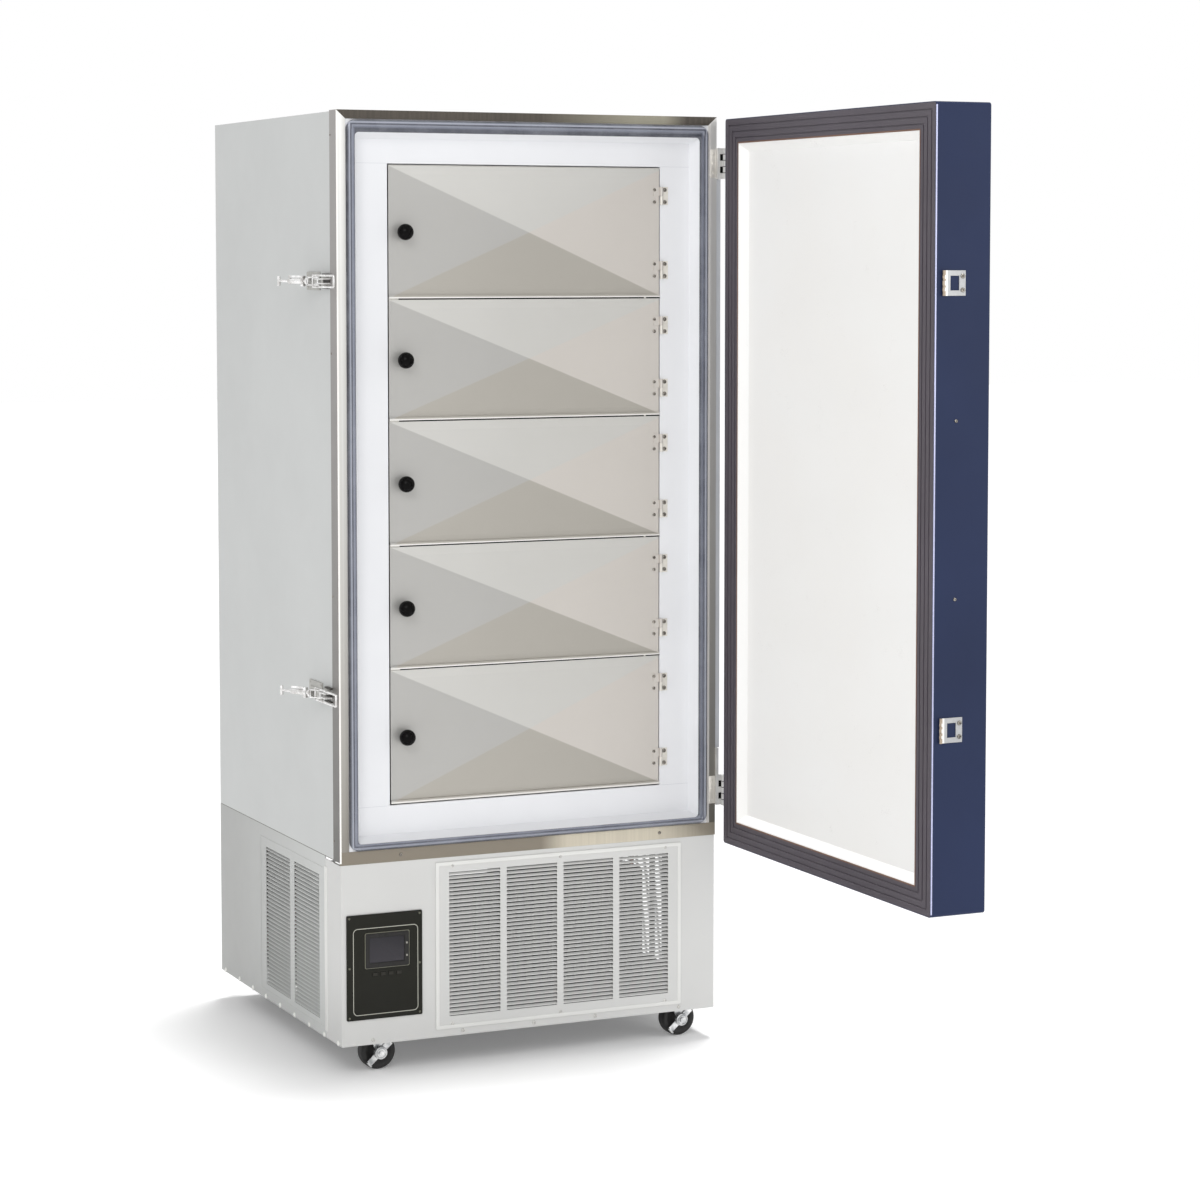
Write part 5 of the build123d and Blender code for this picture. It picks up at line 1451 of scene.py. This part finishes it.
@dataclass
class SideLatches:
    """Bases and levers of the two pull latches; each lever is drawn in its rest place."""

    levels: tuple[tuple[str, float], ...] = (("upper", 1.648), ("lower", 0.794))
    skin: float = -0.4298
    pivot: Pair = (-0.4438, -0.3220)
    turn: float = 30.0
    smooth: float = 35.0
    plate: Slab = Slab(0.080, 0.038, 0.0025, 0.003, 0.0006)
    plate_rib: Slab = Slab(0.064, 0.01292, 0.0018, 0.002, 0.0006)
    plate_y: float = -0.2590
    plate_rivet: Pair = (0.0336, 0.01368)
    plate_rivet_radius: float = 0.0027
    foot: Slab = Slab(0.058, 0.019, 0.0012, 0.002, 0.0004)
    foot_y: float = -0.3350
    # The floor and the pads are dark plates that paint the shade between and beside the ears.
    floor: Slab = Slab(0.040, 0.0062, 0.0020, 0.0006, steps=SMALL_CORNER)
    floor_y: float = -0.3430
    pad: Slab = Slab(0.038, 0.0034, 0.006, 0.001, 0.0006, SMALL_CORNER)
    pad_y: float = -0.3415
    pad_up: float = 0.0140
    ear: Slab = Slab(0.044, 0.0026, 0.0200, 0.0006, 0.0004, SMALL_CORNER)
    ear_up: float = 0.0047
    ear_past_pivot: float = 0.005
    pin: Profile = ((0.0028, 0.0), (0.0028, 0.0090), (0.0022, 0.0093), (0.0, 0.0093))
    cheek_low: float = 0.0064
    cheek_gauge: float = 0.0026
    cheek_round: float = 0.0065
    cheek_length: float = 0.024
    cheek_steps: int = 12
    yoke: Slab = Slab(0.013, 0.018, 0.0028, 0.0012, 0.0004, SMALL_CORNER)
    collar: Slab = Slab(0.0085, 0.0215, 0.0075, 0.0015, 0.0008, SMALL_CORNER)
    collar_place: float = 0.0370
    collar_rivet: Pair = (0.0022, 0.0012)
    collar_rivet_place: Point = (-0.00425, 0.0408, 0.0080)
    sleeve: Profile = (
        (0.0, 0.0), (0.0044, 0.0), (0.0044, 0.0125), (0.0058, 0.0130), (0.0060, 0.0145), (0.0060, 0.0500),
        (0.0052, 0.0545), (0.0030, 0.0560), (0.0027, 0.0570), (0.0027, 0.0800), (0.0, 0.0800))
    nut: Profile = ((0.0, 0.0), (0.0078, 0.0), (0.0078, 0.0052), (0.0, 0.0052))
    nut_place: float = 0.0260
    grip: Profile = ((0.0, 0.0), (0.0026, 0.0), (0.0034, 0.0010), (0.0034, 0.0190),
                     (0.0026, 0.0200), (0.0, 0.0200))
    grip_place: Point = (0.0, 0.106, -0.010)
    bar: Slab = Slab(0.0030, 0.034, 0.0042, 0.0010, 0.0005, SMALL_CORNER)
    bar_place: Point = (0.0, 0.063, 0.0072)

    def base(self, level: float, grey: Workpiece, dark: Workpiece, bright: Workpiece) -> None:
        """Adds one base.

        Args:
            level: height of the latch.
            grey: takes its grey steel.
            dark: takes its dark pads, whose black stands for shade above and below the ears, and the dark
                floor between the ears, a painted shade.
            bright: takes its ears and pin ends, white as a painted glint.
        """
        def on_skin(y: float, up: float = 0.0, out: float = 0.0) -> Matrix:
            """The placing of a plate on the cabinet's side."""
            return Facing.LEFT.matrix((self.skin - out, y, level + up))

        gauge = self.plate.gauge
        self.plate.add(grey, on_skin(self.plate_y))
        self.plate_rib.add(grey, on_skin(self.plate_y, out=gauge))
        across, up = self.plate_rivet
        middle = self.pivot[1] - self.ear.width / 2 + self.ear_past_pivot
        for side in (-1, 1):
            for end in (-1, 1):
                grey.rivet(on_skin(self.plate_y + end * across, side * up, gauge), self.plate_rivet_radius)
            self.ear.add(bright, on_skin(middle, side * self.ear_up))
            self.pad.add(dark, on_skin(self.pad_y, side * self.pad_up))
            flip = Matrix.Rotation(math.radians(0 if side > 0 else 180), 4, "X")
            bright.turned(self.pin, Matrix.Translation((*self.pivot, level)) @ flip)
        self.foot.add(grey, on_skin(self.foot_y))
        self.floor.add(dark, on_skin(self.floor_y, out=self.foot.gauge))

    def lever(self, level: float, work: Workpiece) -> None:
        """Adds one lever: two cheeks, yoke, collar, sleeve with its rod, nut and cross grip.

        Args:
            level: height of the latch.
            work: takes the lever.
        """
        along = Matrix.Translation((*self.pivot, level)) @ Matrix.Rotation(math.radians(self.turn), 4, "Z")
        to_rod = Matrix.Rotation(math.radians(-90), 4, "X")

        def at(distance: float) -> Matrix:
            """The placing of a piece turned about the rod, that far from the pivot."""
            return along @ Matrix.Translation((0, distance, 0)) @ to_rod

        angles = [math.pi * (1 + step / self.cheek_steps) for step in range(self.cheek_steps + 1)]
        radius = self.cheek_round
        outline = [(radius * math.cos(angle), radius * math.sin(angle)) for angle in angles]
        outline += [(radius, self.cheek_length), (-radius, self.cheek_length)]
        for low in (self.cheek_low, -self.cheek_low - self.cheek_gauge):
            work.plate(outline, self.cheek_gauge, along @ Matrix.Translation((0, 0, low)))
        self.yoke.add(work, at(self.cheek_length - self.yoke.gauge))
        self.collar.add(work, at(self.collar_place))
        work.turned(self.sleeve, at(self.cheek_length), TURN_STEPS)
        work.turned(self.nut, at(self.nut_place), HEXAGON)
        work.turned(self.grip, along @ Matrix.Translation(self.grip_place), TURN_STEPS)
        self.bar.add(work, along @ Matrix.Translation(self.bar_place))
        x, y, z = self.collar_rivet_place
        outward = Matrix.Rotation(math.radians(-90), 4, "Y")
        for side in (-1, 1):
            work.rivet(along @ Matrix.Translation((x, y, side * z)) @ outward, *self.collar_rivet)

    def build(self) -> None:
        """Builds both latches."""
        grey, dark, bright = Workpiece(), Workpiece(), Workpiece()
        for name, level in self.levels:
            self.base(level, grey, dark, bright)
            lever, node = Workpiece(), f"latch_lever_{name}"
            self.lever(level, lever)
            lever.made(f"lever_{name}", BRIGHT_STEEL, node, (node,), self.smooth)
        grey.made("latch_plates", LATCH_GREY, "cabinet", ("latch_bases",), self.smooth)
        dark.made("latch_pads", LATCH_DARK, smooth=self.smooth)
        bright.made("latch_ears", EAR_GLINT, smooth=self.smooth)


@dataclass
class PedalBosses:
    """Round bosses and bolts in the middle of the two brake pedals."""

    places: tuple[tuple[str, float], ...] = (("left", -0.332), ("right", 0.368))
    front: float = -0.3713
    height: float = 0.038
    boss: Profile = (
        (0.0135, -0.0030), (0.0135, 0.0004), (0.0128, 0.0012), (0.0105, 0.0014), (0.0098, 0.0006),
        (0.0086, 0.0006), (0.0086, 0.0016), (0.0, 0.0016))
    bolt: Profile = ((0.0062, 0.0), (0.0062, 0.0034), (0.9 * 0.0062, 0.0040), (0.0, 0.0040))
    bolt_seat: float = 0.0014
    smooth: float = 35.0

    def build(self) -> None:
        """Builds both bosses with their bolts."""
        for side, x in self.places:
            boss = Workpiece()
            placing = Facing.FRONT.matrix((x, self.front, self.height))
            boss.turned(self.boss, placing, FINE_STEPS)
            boss.turned(self.bolt, placing @ Matrix.Translation((0, 0, self.bolt_seat)), HEXAGON)
            boss.made(f"pedal_boss_{side}", ZINC, f"brake_pedal_{side}", smooth=self.smooth)


@dataclass
class OuterHinges:
    """Black washers between the knuckles, their black standing partly for the shade in the slots, dark sheets
    beside them as painted shade, door plates and hinge screws.
    """

    axis: Pair = (0.4478, -0.4175)
    bottoms: Pair = (1.86399, 0.51203)
    height: float = 0.066
    knuckles: int = 5
    band: float = 0.0012
    bore: float = 0.0045
    radius: float = 0.0084
    # Painted shade: a dark sheet behind the gaps beside the knuckles.
    shade: Slab = Slab(0.0145, 0.065, 0.0010, 0.0006, steps=COARSE_CORNER)
    shade_place: Pair = (0.4397, -0.4052)
    plate: Slab = Slab(0.0140, 0.0600, 0.0008, 0.001, 0.0003, SMALL_CORNER)
    plate_place: Pair = (0.4242, -0.4015)
    plate_head: Pair = (0.0034, 0.0009)
    side_place: Pair = (0.4368, -0.378)
    side_head: Pair = (0.0034, 0.0018)
    smooth: float = 50.0
    screw_shares: tuple[float, ...] = (0.2, 0.5, 0.8)

    def build(self) -> None:
        """Builds washers, painted-shade sheets, plates and screws of both hinges."""
        washers, shade, plates, screws = Workpiece(), Workpiece(), Workpiece(), Workpiece()
        profile = [(self.bore, 0.0), (self.radius, 0.0), (self.radius, self.band), (self.bore, self.band),
                   (self.bore, 0.0)]
        for bottom in self.bottoms:
            middle = bottom + self.height / 2
            for number in range(1, self.knuckles):
                at = (*self.axis, bottom + number * self.height / self.knuckles - self.band / 2)
                washers.turned(profile, Facing.UP.matrix(at), TURN_STEPS)
            self.shade.add(shade, Facing.FRONT.matrix((*self.shade_place, middle)))
            self.plate.add(plates, Facing.FRONT.matrix((*self.plate_place, middle)))
            x, y = self.plate_place
            for share in self.screw_shares:
                height = bottom + share * self.height
                screws.screw(Facing.RIGHT.matrix((*self.side_place, height)), *self.side_head)
                plates.screw(Facing.FRONT.matrix((x, y - self.plate.gauge, height)), *self.plate_head)
        washers.weld()
        washers.made("hinge_washers", BAND_BLACK, smooth=self.smooth)
        shade.made("hinge_shades", SHADE_BLACK)
        plates.made("hinge_plates", LEAF_STEEL)
        screws.made("hinge_screws", SCREW_ZINC)


@dataclass(frozen=True)
class SoftLamp:
    """A soft square lamp: its name, place, the point it faces, its side in metres and its watts."""

    name: str
    place: Point
    aim: Point
    size: float
    power: float

    def hang(self) -> None:
        """Adds the lamp to the scene."""
        data = bpy.data.lights.new(self.name, "AREA")
        data.size = self.size
        data.energy = self.power
        lamp = bpy.data.objects.new(self.name, data)
        lamp.location = self.place
        way = Vector(self.aim) - Vector(self.place)
        lamp.rotation_euler = way.to_track_quat("-Z", "Y").to_euler()
        bpy.context.collection.objects.link(lamp)


@dataclass(frozen=True)
class Studio:
    """Floor, lamps, sun, world and camera."""

    floor_size: float = 60.0
    floor_level: float = -0.0005
    floor_colour: Colour = (252, 252, 252)
    floor_roughness: float = 0.9
    floor_glow: float = 0.16
    white: Colour = (255, 255, 255)
    world_strength: float = 0.42
    camera_place: Point = (-2.6402, -6.4927, 1.6948)
    camera_turn: Point = (86.0, 0.0, -24.667)
    lens: float = 95.107
    shift_y: float = -0.1
    sensor: float = 36.0
    far: float = 100.0
    sun_power: float = 1.75
    sun_spread: float = 11.0
    sun_way: Point = (-0.12, -0.09, -1.0)
    clear_of_sun: tuple[str, ...] = ("door_skin", "door_liner", "door_gasket", "door_foam")
    lamps: tuple[SoftLamp, ...] = (SoftLamp("key", (-3.2, -4.6, 4.2), (0.0, 0.0, 1.0), 3.0, 110.0),
                                   SoftLamp("fill", (3.6, -4.2, 2.4), (0.2, -0.4, 1.0), 3.0, 42.0))

    def floor(self) -> None:
        """Lays the pale floor, which keeps the shadow and shows white to the camera."""
        mesh = bpy.data.meshes.new("floor")
        work = bmesh.new()
        bmesh.ops.create_grid(work, x_segments=1, y_segments=1, size=self.floor_size / 2)
        work.to_mesh(mesh)
        work.free()
        floor = bpy.data.objects.new("floor", mesh)
        floor.location.z = self.floor_level
        bpy.context.collection.objects.link(floor)
        material = bpy.data.materials.new("floor")
        sheet = ShaderSheet(material, "Principled BSDF")
        sheet.feed(sheet.surface.inputs["Base Color"], linear(self.floor_colour))
        sheet.feed(sheet.surface.inputs["Roughness"], self.floor_roughness)
        plain = Value(sheet, sheet.surface.outputs[0])
        sockets = {"Color": linear(self.white), "Strength": self.floor_glow}
        glow = sheet.node("ShaderNodeEmission", {}, sockets)
        sheet.blend(plain, sheet.node("ShaderNodeAddShader", {}, {0: plain, 1: glow}), "Material Output")
        mesh.materials.append(material)

    def world(self) -> None:
        """Even pale light from all round, and plain white where a ray meets it directly."""
        world = bpy.data.worlds.new("studio")
        sheet = ShaderSheet(world, "Background")
        sheet.feed(sheet.surface.inputs["Color"], linear(self.white))
        sheet.feed(sheet.surface.inputs["Strength"], self.world_strength)
        white = sheet.node("ShaderNodeBackground", {}, {"Color": linear(self.white)})
        sheet.blend(Value(sheet, sheet.surface.outputs[0]), white, "World Output")
        bpy.context.scene.world = world

    def sun(self) -> None:
        """Adds soft light from high up behind, which the open door lets through.

        The cabinet's shadow falls forward and to the left.
        """
        data = bpy.data.lights.new("sun", "SUN")
        data.energy = self.sun_power
        data.angle = math.radians(self.sun_spread)
        sun = bpy.data.objects.new("sun", data)
        sun.rotation_euler = Vector(self.sun_way).to_track_quat("-Z", "Y").to_euler()
        bpy.context.collection.objects.link(sun)
        clear = bpy.data.collections.new("clear_of_sun")
        for name in self.clear_of_sun:
            clear.objects.link(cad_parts[name])
        for entry in clear.collection_objects:
            entry.light_linking.link_state = "EXCLUDE"
        sun.light_linking.blocker_collection = clear

    def camera(self) -> None:
        """Sets the camera to the photograph's view."""
        data = bpy.data.cameras.new("camera")
        data.sensor_width = self.sensor
        data.lens = self.lens
        data.shift_y = self.shift_y
        data.clip_end = self.far
        camera = bpy.data.objects.new("camera", data)
        camera.location = self.camera_place
        camera.rotation_euler = tuple(math.radians(angle) for angle in self.camera_turn)
        bpy.context.collection.objects.link(camera)
        bpy.context.scene.camera = camera

    def build(self) -> None:
        """Builds the whole studio."""
        bpy.context.scene.view_settings.view_transform = "Standard"
        self.floor()
        self.world()
        for lamp in self.lamps:
            lamp.hang()
        self.sun()
        self.camera()
        log.info("built the studio")


def main() -> None:
    """Builds the scene in order and reports each piece."""
    logging.basicConfig(level=logging.INFO, format="%(name)s: %(message)s")
    PALETTE.dress_frame()
    for name, width in SOFT_EDGES.items():
        soften(name, width)
    for group in (InnerDoors, MouthSeal, OuterDoorDetail, ControlFace, Fasteners, OuterHinges, PanelRims,
                  SideLatches, PedalBosses):
        group().build()
    for side in ("left", "right"):
        Wheel().build(f"front_wheel_{side}", Facing.FRONT)
        Wheel().build(f"rear_wheel_{side}", Facing.RIGHT)
    Studio().build()


if __name__ == "__main__":
    main()
